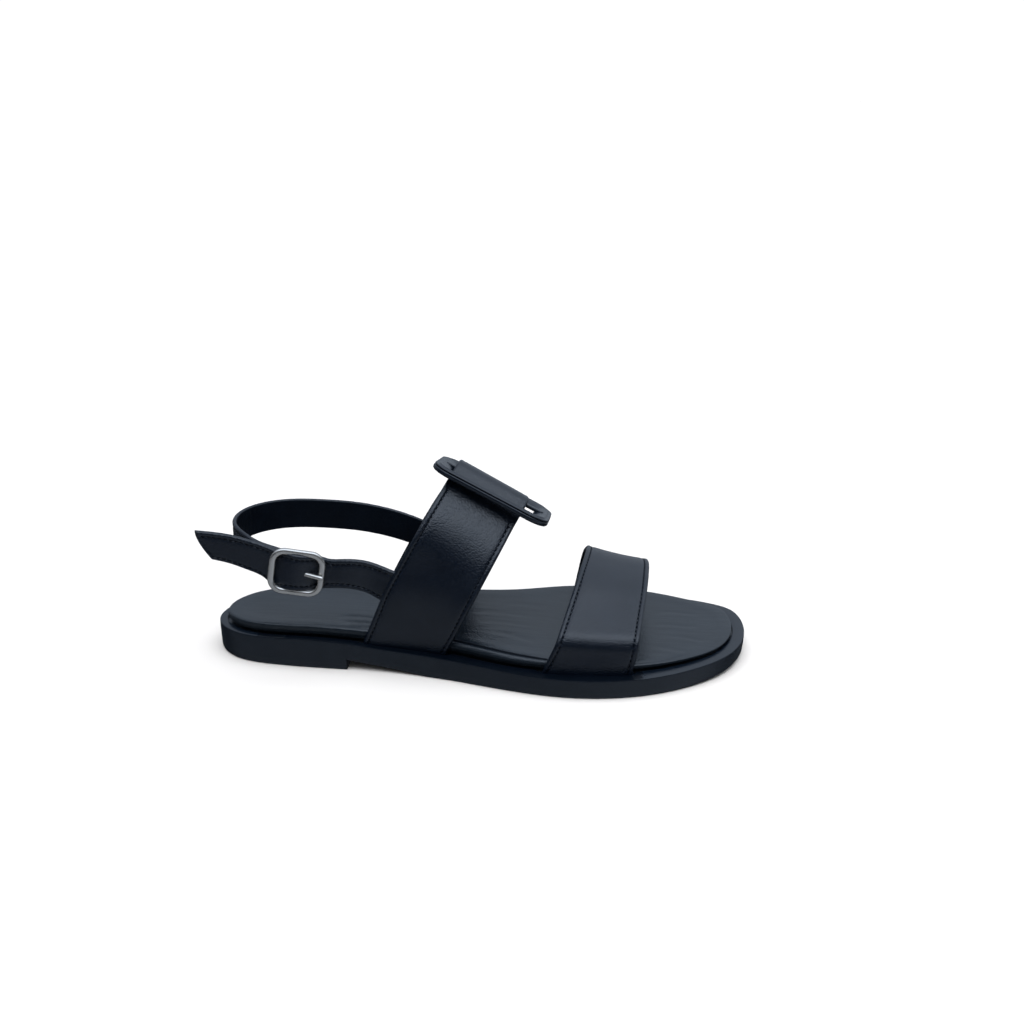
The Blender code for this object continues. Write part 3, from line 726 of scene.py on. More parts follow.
OUTLINE, OUTWARD, LEDGE = sole_outline()
BED_OUTLINE = OUTLINE - LEDGE[:, None] * OUTWARD


def bed_edge(x, side):
    """Y of the footbed's edge at x on one side, -1 outer and 1 inner."""
    if side < 0:
        line = BED_OUTLINE[: HALF_RING + 1]
    else:
        line = np.vstack([BED_OUTLINE[:1], BED_OUTLINE[: HALF_RING - 1 : -1]])
    return np.interp(x, line[:, 0], line[:, 1])


def instep_foot(along):
    """X at which a line across the instep strap meets the rim."""
    foot = along / math.cos(INSTEP_LEAN)
    for _ in range(3):
        foot = along / math.cos(INSTEP_LEAN) + float(sole_at("rim", foot)) * math.tan(INSTEP_LEAN)
    return foot


def groove_reach():
    """Width of the gap beside the footbed, wider where a strap goes down into it."""
    instep = (instep_foot(INSTEP_REAR), instep_foot(INSTEP_FRONT))
    near, far = GROOVE_FADE
    reach = np.full(len(OUTLINE), GROOVE_WIDTH)
    for i, (x, _) in enumerate(BED_OUTLINE):
        for low, high in (instep, VAMP_INNER_X if i > HALF_RING else VAMP_OUTER_X):
            strap = float(window((low - far, low - near, high + near, high + far), x))
            reach[i] = max(reach[i], GROOVE_WIDTH + (GROOVE_STRAP - GROOVE_WIDTH) * strap)
    return reach


def sole_floor(x):
    """Height of the tread: flat at heel and forefoot, hollow under the arch, sprung at the toe."""
    lift = np.clip((x - SPRING_START_X) / (TOE_X - SPRING_START_X), 0, 1)
    arch = np.clip((ARCH_END_X - x) / (ARCH_END_X - BREAST_X), 0, 1) * (x > BREAST_X)
    return TOE_SPRING * lift**2 + ARCH_RISE * arch


def close_ring(points, faces, first, rungs, lift):
    """Closes the ring of points that starts at first, with rungs from its outer to its inner side.
    lift gives the height at (x, y) of the rung from the ring's point i. Adds the new faces to faces
    and returns all points."""
    count = len(OUTLINE)
    ring = points[first : first + count]
    rows = []
    extra = []
    for i in range(HALF_RING + 1):
        far = (count - i) % count
        if i == far:
            rows.append([first + i])
            continue
        row = [first + i]
        for k in range(1, rungs):
            x, y, _ = ring[i] + (ring[far] - ring[i]) * k / rungs
            row.append(len(points) + len(extra))
            extra.append((x, y, lift(x, y, i)))
        rows.append([*row, first + far])
    for here, there in zip(rows, rows[1:]):
        for k in range(rungs):
            if len(here) == 1:
                faces.append((here[0], there[k], there[k + 1]))
            elif len(there) == 1:
                faces.append((here[k], there[0], here[k + 1]))
            else:
                faces.append((here[k], there[k], there[k + 1], here[k + 1]))
    return np.concatenate([points, extra])


def painted_shade_slot(spot):
    """Material of a face of the sole by the place of its middle: 0 rubber, 1 half painted shade, 2 full
    painted shade (darker, duller rubber standing in for shade on the rim top and the heel's breast).
    """
    x, _, z = spot
    # The heel's upright breast, facing the hollow under the arch, gets the full painted shade.
    if abs(x - BREAST_X) < 5 * BREAST_PAIR and z < ARCH_RISE:
        return 2
    floor = float(sole_floor(x))
    if z - floor <= PAINTED_SHADE_SHARE * (float(sole_at("rim", x)) - floor):
        return 0
    return int(PAINTED_SHADE_X[0] < x < PAINTED_SHADE_X[1]) + int(DEEP_SHADE_X[0] < x < DEEP_SHADE_X[1])


def build_outsole():
    rings = []
    floor = sole_floor(OUTLINE[:, 0])
    for inset, share in SOLE_WALL:
        flat = OUTLINE - inset * OUTWARD
        rim = sole_at("rim", flat[:, 0])
        rings.append(np.column_stack([flat, floor + share * (rim - floor)]))
    brink = LEDGE - groove_reach()
    shelf = (
        (LEDGE * 0.45 + 0.6, 0.04),
        (brink - 0.35, 0.0),
        (brink - 0.12, -0.06),
        (brink, -0.3),
        (brink + 0.05, -GROOVE_DEPTH),
        (LEDGE + 2.4, -GROOVE_DEPTH - 0.05),
        (LEDGE + 2.6, -0.2),
        (LEDGE + 3.2, SEAT_LEVEL),
    )
    for inset, rise in shelf:
        flat = OUTLINE - inset[:, None] * OUTWARD
        rings.append(np.column_stack([flat, sole_at("rim", flat[:, 0]) + rise]))
    points = np.concatenate(rings)
    faces = ring_faces(len(rings), len(OUTLINE))
    last = len(points) - len(OUTLINE)
    points = close_ring(points, faces, 0, SOLE_RUNGS, lambda x, y, i: float(floor[i]))
    points = close_ring(
        points, faces, last, SOLE_RUNGS, lambda x, y, i: float(sole_at("rim", x)) + SEAT_LEVEL
    )
    slots = [painted_shade_slot(points[list(face)].mean(axis=0)) for face in faces]
    thing = make_solid("outsole_unit", points, faces, slots)
    thing.data.set_sharp_from_angle(angle=SOLE_SHARP)
    return thing


def bed_contour(x, y):
    """Height of the heel hollow and the lifted inner side over the footbed's plain top."""
    half = (bed_edge(x, 1) - bed_edge(x, -1)) / 2
    mid = (bed_edge(x, 1) + bed_edge(x, -1)) / 2
    side = np.clip((y - mid) / np.maximum(half, 1.0), -1, 1)
    heel = HEEL_DISH * bump_at(x, HEEL_DISH_X, HEEL_DISH_REACH)
    arch = ARCH_LIFT * bump_at(x, ARCH_LIFT_X, ARCH_LIFT_REACH)
    fore = FORE_LIFT * bump_at(x, FORE_LIFT_X, FORE_LIFT_REACH)
    return (arch + fore) * np.clip(side, 0, 1) ** 2 - heel * (1 - side**2)


def creases(x, y):
    """Height of the soft creases at a place in the footbed's cover."""
    total = np.zeros(np.broadcast(x, y).shape)
    for x0, y0, x1, y1, width, depth in BED_CREASES:
        length = math.hypot(x1 - x0, y1 - y0)
        along = ((x - x0) * (x1 - x0) + (y - y0) * (y1 - y0)) / length**2
        off = ((x - x0) * (y1 - y0) - (y - y0) * (x1 - x0)) / length
        off = off + CREASE_SWAY * np.sin(along * CREASE_TURNS)
        trough = bump_at(off, 0, width) - RIDGE_SHARE * bump_at(off, width * RIDGE_OFF, width)
        total = total - depth * window(CREASE_FADE, along) * trough
    return total


def bed_top(x, y, i):
    rise = sole_at("bed_rise", x) + bed_contour(x, y)
    return float(sole_at("rim", x) + FIT_GAP + rise + creases(x, y))


def build_footbed():
    outer = np.arange(len(OUTLINE)) <= HALF_RING
    waist = outer * window(WAIST_X, BED_OUTLINE[:, 0])
    tip = outer * window(TIP_X, BED_OUTLINE[:, 0])
    rings = []
    for inset, share in (*BED_EDGE, *((inset, 1.0) for inset in BED_INSETS)):
        roll = ROLL_WIDTH * waist * smooth_step(*ROLL_RISE, share)
        flat = BED_OUTLINE - (inset + roll)[:, None] * OUTWARD
        x, y = flat.T
        height = sole_at("rim", x) + FIT_GAP + share * (sole_at("bed_rise", x) + bed_contour(x, y))
        height = height - TIP_CREASE_DEPTH * tip * bump_at(inset, TIP_CREASE_INSET, TIP_CREASE_WIDTH)
        if share > WAIST_SHARE:
            height = height - waist * np.interp(inset, *zip(*WAIST_CREASE))
        if share >= PUFF_SHARE and inset < BED_INSETS[-1]:
            height = height + PUFF_RISE * bump_at(inset, PUFF_INSET, PUFF_REACH)
        if share >= CREASED_SHARE:
            height = height + creases(x, y)
        rings.append(np.column_stack([flat, height]))
    count = len(OUTLINE)
    points = np.concatenate(rings)
    faces = ring_faces(len(rings), count)
    last = len(points) - count
    points = close_ring(
        points, faces, 0, UNDER_RUNGS, lambda x, y, i: float(sole_at("rim", x)) + FIT_GAP
    )
    points = close_ring(points, faces, last, BED_RUNGS, bed_top)
    # Faces inside the waist crease take the painted shade material.
    crease_shade = (waist > CREASE_SHADE_FROM) & (np.roll(waist, -1) > CREASE_SHADE_FROM)
    slots = np.zeros(len(faces), int)
    for ring, (inset, share) in enumerate(BED_EDGE):
        if inset in CREASE_SHADE_INSETS:
            slots[ring * count : (ring + 1) * count] = crease_shade
    return make_solid("footbed_pad", points, faces, slots)


# Wide straps.


def column_shares(width):
    """Places across a strap, close together at its turned edges."""
    near = np.array([column for column in EDGE_COLUMNS if column < width / 2 - COLUMN_REST])
    count = max(2, int((width - 2 * near[-1]) / COLUMN_STEP))
    inner = np.linspace(near[-1], width - near[-1], count + 1)[1:-1]
    return np.concatenate([near, inner, (width - near)[::-1]]) / width


def lasted_end(x, side):
    """Where a strap's inner face goes down beside the footbed into the rim."""
    edge = bed_edge(x, side)
    return x, edge + side * LASTING_GAP, float(sole_at("rim", x)) - TUCK


def instep_point(along, side, up):
    x = along * math.cos(INSTEP_LEAN) + up * math.sin(INSTEP_LEAN)
    z = up * math.cos(INSTEP_LEAN) - along * math.sin(INSTEP_LEAN)
    return x, side, z


def instep_face(shares):
    rear_side, front_side, rear_up, front_up, radii, rear_shift, front_shift = np.array(INSTEP_FOLDS).T
    lines = []
    for share in shares:
        along = INSTEP_REAR + share * (INSTEP_FRONT - INSTEP_REAR)
        foot = instep_foot(along)
        places = along + rear_shift + share * (front_shift - rear_shift)
        sides = rear_side + share * (front_side - rear_side)
        ups = rear_up + share * (front_up - rear_up)
        over = [instep_point(*fold) for fold in zip(places, sides, ups)]
        lines.append(folded_line([lasted_end(foot, -1), *over, lasted_end(foot, 1)], radii))
    return np.array(lines)


def vamp_face(shares):
    table = np.array(VAMP_FOLDS)
    lines = []
    for share in shares:
        outer = VAMP_OUTER_X[0] + share * (VAMP_OUTER_X[1] - VAMP_OUTER_X[0])
        inner = VAMP_INNER_X[0] + share * (VAMP_INNER_X[1] - VAMP_INNER_X[0])
        over = table[:, 0:3] + share * (table[:, 3:6] - table[:, 0:3])
        over[:, 2] -= 4 * share * (1 - share) * np.array(VAMP_SAG)
        lines.append(folded_line([lasted_end(outer, -1), *over, lasted_end(inner, 1)], table[:, 6]))
    return np.array(lines)


def turned_edge(edge, runs):
    """Relief of a turned and stitched edge: a rolled rim, a sewn groove and a soft panel inside it."""
    roll = EDGE_ROLL * np.sin(math.pi * np.clip(edge / STITCH_IN, 0, 1)) ** 0.8
    pulled = 1 - SEWN_PULL + SEWN_PULL * np.cos(2 * math.pi * runs / STITCH_PITCH)
    groove = SEWN_GROOVE * bump_at(edge, STITCH_IN, SEWN_WIDTH) * pulled
    return roll - groove + PANEL_RISE * smooth_step(STITCH_IN, STITCH_IN + PANEL_REACH, edge)


def plain(edge, runs, widths):
    return np.zeros_like(edge)


def waves(table, runs, widths):
    total = np.zeros_like(runs)
    for height, place, reach, length, phase in table:
        total = total + height * bump_at(runs, place, reach) * np.sin(widths / length + phase)
    return total


def instep_relief(edge, runs, widths):
    pressed = BARS_FLATTEN * window(BARS_RUN, runs + BAR_SLANT * widths)
    wave = waves(INSTEP_WAVES, runs, widths) * smooth_step(*WAVE_EDGE, edge)
    return turned_edge(edge, runs) * (1 - pressed) + wave


def vamp_relief(edge, runs, widths):
    sway, turn = VAMP_HOLLOW_SWAY
    hollow = VAMP_HOLLOW * window(VAMP_HOLLOW_RUN, runs + sway * np.sin(widths / turn))
    dent = VAMP_DENT * bump_at(runs, *VAMP_DENT_RUN) * bump_at(widths, *VAMP_DENT_WIDTH)
    wave = waves(VAMP_WAVES, runs, widths) - hollow - dent
    return turned_edge(edge, runs) + wave * smooth_step(*WAVE_EDGE, edge)


def stitches(name, rows):
    """Sewn thread: each stitch is a short bar that sinks at both ends. rows holds, for each line of
    stitching, its points, the way out of the leather, and where the first and last stitch lie."""
    points = []
    faces = []
    rings = len(STITCH_FORM)
    angles = np.linspace(0, 2 * math.pi, THREAD_SIDES, endpoint=False)
    loop = ring_faces(rings, THREAD_SIDES)
    loop += [tuple(range(THREAD_SIDES)), tuple(range((rings - 1) * THREAD_SIDES, rings * THREAD_SIDES))]
    for line, out, first, last in rows:
        along = lengths(line)
        centre = first + STITCH_PITCH / 2
        while centre < min(last, along[-1]) - STITCH_PITCH / 2:
            faces += [tuple(len(points) + corner for corner in face) for face in loop]
            for share, swell, lift in STITCH_FORM:
                stop = centre + share * STITCH_LENGTH
                way = on_line(line, along, stop + STITCH_AIM) - on_line(line, along, stop - STITCH_AIM)
                up = unit(on_line(out, along, stop))
                side = unit(np.cross(unit(way), up))
                hub = on_line(line, along, stop) + up * lift
                for angle in angles:
                    points.append(hub + THREAD * swell * (side * math.cos(angle) + up * math.sin(angle)))
            centre += STITCH_PITCH
    return make_solid(name, points, faces)


def sewn_lines(skin, margins):
    """The two lines of stitching along a strap, on its outer surface, with a margin left at each end."""
    high, out, edge = skin
    rows = []
    across = high.shape[0]
    for half in (range(across // 2), range(across - 1, across // 2, -1)):
        half = list(half)
        line = []
        ways = []
        for i in range(high.shape[1]):
            line.append(on_line(high[half, i], edge[half, i], STITCH_IN))
            ways.append(on_line(out[half, i], edge[half, i], STITCH_IN))
        line = np.array(line)
        rows.append((line, np.array(ways), margins[0], lengths(line)[-1] - margins[1]))
    return rows


def broken_rows(rows, breaks):
    """Lines of stitching with a stretch left out of each."""
    made = []
    for (line, out, first, last), (stop, resume) in zip(rows, breaks):
        made.append((line, out, first, stop))
        made.append((line, out, resume, last))
    return made


def build_wide_strap(name, face_of, width, relief):
    face = refine(face_of(column_shares(width)), RUN_STEP, SOFTENING)
    strap, skin = ribbon(name, face, STRAP_WALL, relief, plain)
    return strap, sewn_lines(skin, (TUCK + 1.0, TUCK + 1.0)), face


# Sling strap, tab strap and their buckle.

ALONG = Vector(SLING_BUCKLE_ALONG).normalized()
OUT = ALONG.cross(Vector((0, 0, 1))).normalized()
UP = OUT.cross(ALONG)


def buckle_point(along, up, out):
    return tuple(Vector(SLING_BUCKLE_AT) + ALONG * along + UP * up + OUT * out)


def in_buckle(points):
    return np.array([buckle_point(*point) for point in points])


def wall_side(instep, x, z, side):
    """Y of the instep strap's inner face at a place on its outer (-1) or inner (1) wall."""
    along = x * math.cos(INSTEP_LEAN) - z * math.sin(INSTEP_LEAN)
    share = (along - INSTEP_REAR) / (INSTEP_FRONT - INSTEP_REAR)
    found = []
    for line in instep:
        middle = len(line) // 2
        wall = line[:middle] if side < 0 else line[:middle:-1]
        low = wall[: int(np.argmax(wall[:, 2])) + 1]
        found.append(np.interp(z, low[:, 2], low[:, 1]))
    return float(np.interp(share, column_shares(INSTEP_WIDTH), found))


def tab_out(along):
    """Height of the tab strap's inner face as it passes under, over and under the bars."""
    near = np.clip(along / TAB_HUMP_REACH, -1, 1)
    return TAB_UNDER_BAR + TAB_HUMP * (1 + math.cos(math.pi * near)) / 2


def tab_face(shares, instep):
    """Tab strap from the outer wall, through the buckle, to its free tip."""
    course = np.array(TAB_COURSE)[::-1]
    middle = spline(course[:, 0], course[:, 1])
    width = spline(course[:, 0], course[:, 2])
    tip = course[0, 0]
    stops = [*np.linspace(course[-1, 0], TAB_CLOSE_END, TAB_CLOSE_STOPS), *TAB_FAR_STOPS, tip]
    lines = []
    for share in shares:
        line = []
        for x, z, wide in TAB_SEWN:
            z += (share - 0.5) * wide
            line.append((x, wall_side(instep, x, z, -1) + TAB_WALL - WALL_BITE, z))
        for x, y, z, wide in TAB_FREE:
            line.append((x, y, z + (share - 0.5) * wide))
        for along in stops:
            up = middle(along) + (share - 0.5) * width(along)
            cut = TIP_CUT * (1 - (1 - share) ** TIP_BOW) * (along == tip)
            line.append(buckle_point(along - cut, up, tab_out(along)))
        lines.append(np.array(line))
    return even_lines(lines, TAB_STEP)


def sling_face(shares, instep):
    """Sling strap from the inner wall, round the heel, to its loop round the buckle's bar."""
    loop = BAR_WIRE + FIT_GAP + LOOP_WALL
    lines = []
    for share in shares:
        up = (0.5 - share) * SLING_WIDTH
        line = []
        for x, z in SLING_SEWN:
            line.append((x, wall_side(instep, x, z + up, 1) - SLING_WALL + WALL_BITE, z + up))
        line += [(x, y, z + up) for x, y, z in SLING_FREE]
        for along, middle, behind in SLING_BEHIND:
            line.append(buckle_point(along, middle + up, BAR_OUT - loop - behind))
        for turn in np.linspace(*LOOP_DEGREES):
            angle = math.radians(turn)
            line.append(buckle_point(loop * math.cos(angle), up, BAR_OUT + loop * math.sin(angle)))
        lines.append(np.array(line))
    return even_lines(lines, SLING_STEP)


def narrow_relief(edge, runs, widths):
    return NARROW_EDGE * turned_edge(edge, runs)


def sling_inside(edge, runs, widths):
    wrinkled = bump_at(runs, runs[0, -1] * WRINKLE_SHARE, WRINKLE_REACH)
    sway, turn = WRINKLE_SWAY
    ripple = np.cos(2 * math.pi * runs / WRINKLE_PITCH + sway * np.sin(widths / turn))
    return WRINKLE_DEPTH * wrinkled * ripple * smooth_step(*WRINKLE_EDGE, edge)


def prong_line():
    """Prong: an eye round the centre bar, then a straight pin that rests on the front bar."""
    eye = BAR_WIRE + FIT_GAP + PRONG_WIRE
    rest = FRAME_OUT + FRAME_WIRE + FIT_GAP + PRONG_WIRE
    reach = FRAME_LENGTH / 2 - FRAME_WIRE
    slope = math.atan2(rest - BAR_OUT - eye, reach)
    line = []
    for angle in np.linspace(PRONG_START, -1.5 * math.pi + slope, PRONG_STEPS):
        line.append((eye * math.cos(angle), 0.0, BAR_OUT + eye * math.sin(angle)))
    foot = np.array(line[-1])
    way = np.array((math.cos(slope), 0, math.sin(slope)))
    line += [tuple(foot + way * far) for far in np.linspace(PRONG_GAP, PRONG_END, PRONG_STEPS)]
    return np.array(line)


def build_small_buckle():
    thick = 2 * FRAME_WIRE
    size = (FRAME_LENGTH - thick, FRAME_HEIGHT - thick, FRAME_CORNER - FRAME_WIRE)
    wire = rounded_frame(*size, FRAME_CORNER_STEPS, FRAME_STEP)
    wire[:, 2] = FRAME_OUT
    section = round_section(*FRAME_SECTION, FRAME_SIDES, FRAME_SQUARE)
    loop = sweep("sling_buckle_loop", in_buckle(wire), section, np.array(OUT), True)
    rail = FRAME_HEIGHT / 2 - FRAME_WIRE
    inward, drop = BAR_DIP
    dip = [(rail, FRAME_OUT), (rail - inward, FRAME_OUT - drop), (rail - BAR_FOOT, BAR_OUT)]
    dip += [(-up, out) for up, out in dip[::-1]]
    path = in_buckle([(0.0, up, out) for up, out in dip])
    reach = lengths(path)[-1]
    path = curve_at(path, np.linspace(0, reach, int(reach / BAR_STEP)))
    section = round_section(2 * BAR_WIRE, 2 * BAR_WIRE, WIRE_SIDES)
    bar = sweep("sling_buckle_bar", path, section, np.array(ALONG), False)
    pin = prong_line()
    swell = np.ones(len(pin))
    swell[-PRONG_TIP:] = np.sqrt(1 - np.linspace(0, PRONG_TIP_ROUND, PRONG_TIP) ** 2)
    sections = round_section(2 * PRONG_WIRE, 2 * PRONG_WIRE, WIRE_SIDES)[None] * swell[:, None, None]
    prong = sweep("sling_buckle_pin", in_buckle(pin), sections, np.array(UP), False)
    return loop, bar, prong


def build_covered_buckle():
    lean = Matrix.Rotation(COVERED_LEAN, 4, "Y") @ Matrix.Rotation(COVERED_TURN, 4, "X")
    lean = lean @ Matrix.Rotation(COVERED_YAW, 4, "Z")
    seat = np.array(Matrix.Translation(Vector(COVERED_AT)) @ lean)
    dish = []
    for inset in np.arange(*DISH_INSETS):
        dish.append((inset, DISH_TOP - DISH_DROP * ((inset - DISH_START) / DISH_REACH) ** DISH_POWER))
    rings = []
    for inset, height in (*COVERED_SIDE, *dish, *COVERED_UNDER):
        corner = max(COVERED_CORNER - inset, COVERED_INNER_CORNER)
        wider = COVERED_REAR_EXTRA * (inset / COVERED_BAR) ** 2
        size = (COVERED_LENGTH - 2 * inset - wider, COVERED_WIDTH - 2 * inset)
        rings.append(frame_ring(*size, corner) + (wider / 2, 0.0, height))
    points = np.concatenate(rings) @ seat[:3, :3].T + seat[:3, 3]
    ring = make_solid("covered_buckle_frame", points, ring_faces(len(rings), len(rings[0]), True))
    reach = COVERED_LENGTH / 2 - COVERED_BAR / 2
    bar = np.zeros((COVERED_MID_STEPS, 3))
    bar[:, 0] = np.linspace(-reach, reach, COVERED_MID_STEPS)
    bar[:, 2] = COVERED_MID_LIFT
    bar = bar @ seat[:3, :3].T + seat[:3, 3]
    section = round_section(*COVERED_MID_BAR, COVERED_MID_SIDES, COVERED_MID_SQUARE)
    return ring, sweep("covered_buckle_bar", bar, section, seat[:3, 2], False)


# Materials.


def feed(tree, socket, value):
    """Links an output to a socket, or sets the socket to a value."""
    if isinstance(value, bpy.types.NodeSocket):
        tree.links.new(value, socket)
    else:
        socket.default_value = value


def node(tree, kind, *inputs, **settings):
    """Adds a shader node. Its sockets are given in order or by name, with _ for a space, as a value or as the
    output that feeds them; any other setting is the node's own."""
    made = tree.nodes.new("ShaderNode" + kind)
    for name, value in settings.items():
        socket = name.replace("_", " ")
        if socket in made.inputs:
            feed(tree, made.inputs[socket], value)
        else:
            setattr(made, name, value)
    for socket, value in zip(made.inputs, inputs):
        feed(tree, socket, value)
    return made


def surface(name, roughness, metal=0.0, specular=0.5):
    material = bpy.data.materials.new(name)
    material.use_nodes = True
    tree = material.node_tree
    shader = tree.nodes["Principled BSDF"]
    shader.inputs["Roughness"].default_value = roughness
    shader.inputs["Metallic"].default_value = metal
    shader.inputs["Specular IOR Level"].default_value = specular
    return material, tree, shader


def textured(name, dark, light, rough, specular, grain, depth, broad=90.0, streak=0.0):
    """Leather or rubber: two close tones, a cell grain with finer noise, and uneven gloss.
    grain is cells per metre and depth in metres; streak is the depth of fine folds along the foot."""
    material, tree, shader = surface(name, sum(rough) / 2, specular=specular)
    place = node(tree, "TexCoord").outputs["Object"]
    cloud = node(tree, "TexNoise", Vector=place, Scale=broad, Detail=4.0, Roughness=0.6)
    cloud = cloud.outputs["Fac"]
    tones = node(tree, "ValToRGB", Fac=cloud)
    for element, position, tone in zip(tones.color_ramp.elements, TONE_LEVELS, (dark, light)):
        element.position = position
        element.color = (*tone, 1.0)
    feed(tree, shader.inputs["Base Color"], tones.outputs["Color"])
    gloss = node(tree, "MapRange", cloud, *GLOSS_LEVELS, *rough)
    feed(tree, shader.inputs["Roughness"], gloss.outputs["Result"])
    warp = node(tree, "TexNoise", Vector=place, Scale=grain * WARP_SCALE, Detail=2.0)
    sway = (WARP_REACH / grain,) * 3
    shift = node(tree, "VectorMath", warp.outputs["Color"], sway, place, operation="MULTIPLY_ADD")
    cells = node(tree, "TexVoronoi", feature="SMOOTH_F1", Scale=grain, Smoothness=CELL_SMOOTH)
    feed(tree, cells.inputs["Vector"], shift.outputs["Vector"])
    fine = node(tree, "TexNoise", Vector=place, Scale=grain * FINE_SCALE, Detail=3.0, Roughness=0.65)
    pores = (fine.outputs["Fac"], FINE_SHARE, cells.outputs["Distance"])
    mixed = node(tree, "Math", *pores, operation="MULTIPLY_ADD")
    relief = node(tree, "Bump", Strength=1.0, Distance=depth, Height=mixed.outputs["Value"])
    relief.invert = True
    feed(tree, shader.inputs["Normal"], relief.outputs["Normal"])
    if streak:
        stretch = node(tree, "Mapping", Vector=place, Scale=STREAK_SCALE)
        drawn = stretch.outputs["Vector"]
        folds = node(tree, "TexNoise", Vector=drawn, Scale=1.0, Detail=2.0, Roughness=0.5)
        pulled = node(tree, "Bump", Strength=1.0, Distance=streak, Height=folds.outputs["Fac"])
        feed(tree, relief.inputs["Normal"], pulled.outputs["Normal"])
    return material


def polished(name, tone):
    """Plated steel: bright, with faint uneven polish."""
    material, tree, shader = surface(name, 0.2, metal=0.85)
    shader.inputs["Base Color"].default_value = (*tone, 1.0)
    place = node(tree, "TexCoord").outputs["Object"]
    haze = node(tree, "TexNoise", Vector=place, Scale=420.0, Detail=5.0, Roughness=0.7)
    haze = haze.outputs["Fac"]
    gloss = node(tree, "MapRange", haze, To_Min=STEEL_GLOSS[0], To_Max=STEEL_GLOSS[1])
    feed(tree, shader.inputs["Roughness"], gloss.outputs["Result"])
    relief = node(tree, "Bump", Strength=0.25, Distance=0.00008, Height=haze)
    feed(tree, shader.inputs["Normal"], relief.outputs["Normal"])
    return material


# Name, darker and lighter tone, range of roughness, specular level, grain and its depth.
STRAP_LEATHER = textured(
    "strap_leather", (0.0014, 0.0032, 0.007), (0.0024, 0.0048, 0.0095), (0.18, 0.25), 0.5, 1350.0, 0.00014
)
LINING = textured(
    "strap_lining", (0.0003, 0.0016, 0.0042), (0.0006, 0.0028, 0.0066), (0.42, 0.55), 0.18, 900.0, 0.00006
)
BUCKLE_LEATHER = textured(
    "buckle_leather", (0.0024, 0.0045, 0.0085), (0.004, 0.0066, 0.011), (0.17, 0.23), 0.5, 1500.0, 0.00004
)
BED_LEATHER = textured(
    "footbed_leather", (0.0045, 0.0072, 0.0105), (0.0085, 0.012, 0.016), (0.17, 0.27), 0.45, 1400.0, 0.00009,
    broad=45.0, streak=0.00022,
)
SOLE_RUBBER = textured(
    "sole_rubber", (0.0024, 0.0046, 0.0082), (0.0038, 0.0064, 0.0104), (0.16, 0.24), 0.45, 2300.0, 0.00004
)
# Painted shade: darker, duller rubber for the shaded rim top, the heel's breast and the inside of the
# footbed's waist crease, with a half shaded copy for the ends of the rim's stretch.
SOLE_PAINTED_SHADE = textured(
    "sole_painted_shade", (0.0006, 0.0016, 0.0034), (0.0012, 0.0024, 0.0045), (0.4, 0.5), 0.06, 2300.0, 0.00004
)
SOLE_HALF_PAINTED_SHADE = textured(
    "sole_half_painted_shade", (0.0006, 0.0016, 0.0034), (0.0012, 0.0024, 0.0045), (0.28, 0.38), 0.22, 2300.0, 0.00004
)
THREAD_BLACK = textured(
    "sewing_thread", (0.0008, 0.0016, 0.003), (0.0016, 0.0026, 0.0045), (0.6, 0.75), 0.1, 5200.0, 0.00005
)
STEEL = polished("plated_steel", (0.5, 0.48, 0.455))


def finish_piece(thing, materials, slot, *stands_for):
    for material in materials:
        thing.data.materials.append(material)
    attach(thing, "root")
    if stands_for:
        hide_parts(*stands_for)


def finish_strap(strap, sewn_name, rows, stands_for):
    finish_piece(strap, [STRAP_LEATHER, LINING], "strap_leather", stands_for)
    finish_piece(stitches(sewn_name, rows), [THREAD_BLACK], "strap_leather")


def build_sandal():
    # The outsole's second and third materials are painted shade on its rim top and heel breast.
    finish_piece(build_outsole(), [SOLE_RUBBER, SOLE_HALF_PAINTED_SHADE, SOLE_PAINTED_SHADE], "outsole", "outsole")
    footbed = build_footbed()
    # The footbed's second material is the painted shade inside its waist crease.
    finish_piece(footbed, [BED_LEATHER, SOLE_PAINTED_SHADE], "footbed", "footbed")

    vamp, rows, _ = build_wide_strap("vamp_upper", vamp_face, VAMP_WIDTH, vamp_relief)
    finish_strap(vamp, "vamp_stitching", rows, "vamp_strap")
    upper, rows, instep = build_wide_strap("instep_upper", instep_face, INSTEP_WIDTH, instep_relief)
    finish_strap(upper, "instep_stitching", broken_rows(rows, INSTEP_SEWN_BREAKS), "instep_strap")

    narrow = column_shares(SLING_WIDTH)
    face = sling_face(narrow, instep)
    reach = lengths(face[0])
    taper = [reach[-1] - back for back in LOOP_TAPER]
    walls = np.interp(reach, taper, [SLING_WALL, LOOP_WALL])
    sling, skin = ribbon("sling_strap", face, walls, narrow_relief, sling_inside)
    finish_strap(sling, "sling_stitching", sewn_lines(skin, SLING_MARGINS), "instep_strap")
    tab, skin = ribbon("tab_strap", tab_face(narrow, instep), TAB_WALL, narrow_relief, plain, round_end=True)
    finish_strap(tab, "tab_stitching", sewn_lines(skin, TAB_MARGINS), "instep_strap")

    for piece in build_covered_buckle():
        finish_piece(piece, [BUCKLE_LEATHER], "buckle_cover", "covered_buckle")
    loop, bar, prong = build_small_buckle()
    finish_piece(loop, [STEEL], "buckle_metal", "sling_buckle_frame")
    finish_piece(bar, [STEEL], "buckle_metal", "sling_buckle_frame")
    finish_piece(prong, [STEEL], "buckle_metal", "sling_buckle_prong")


# Stage, light and camera.


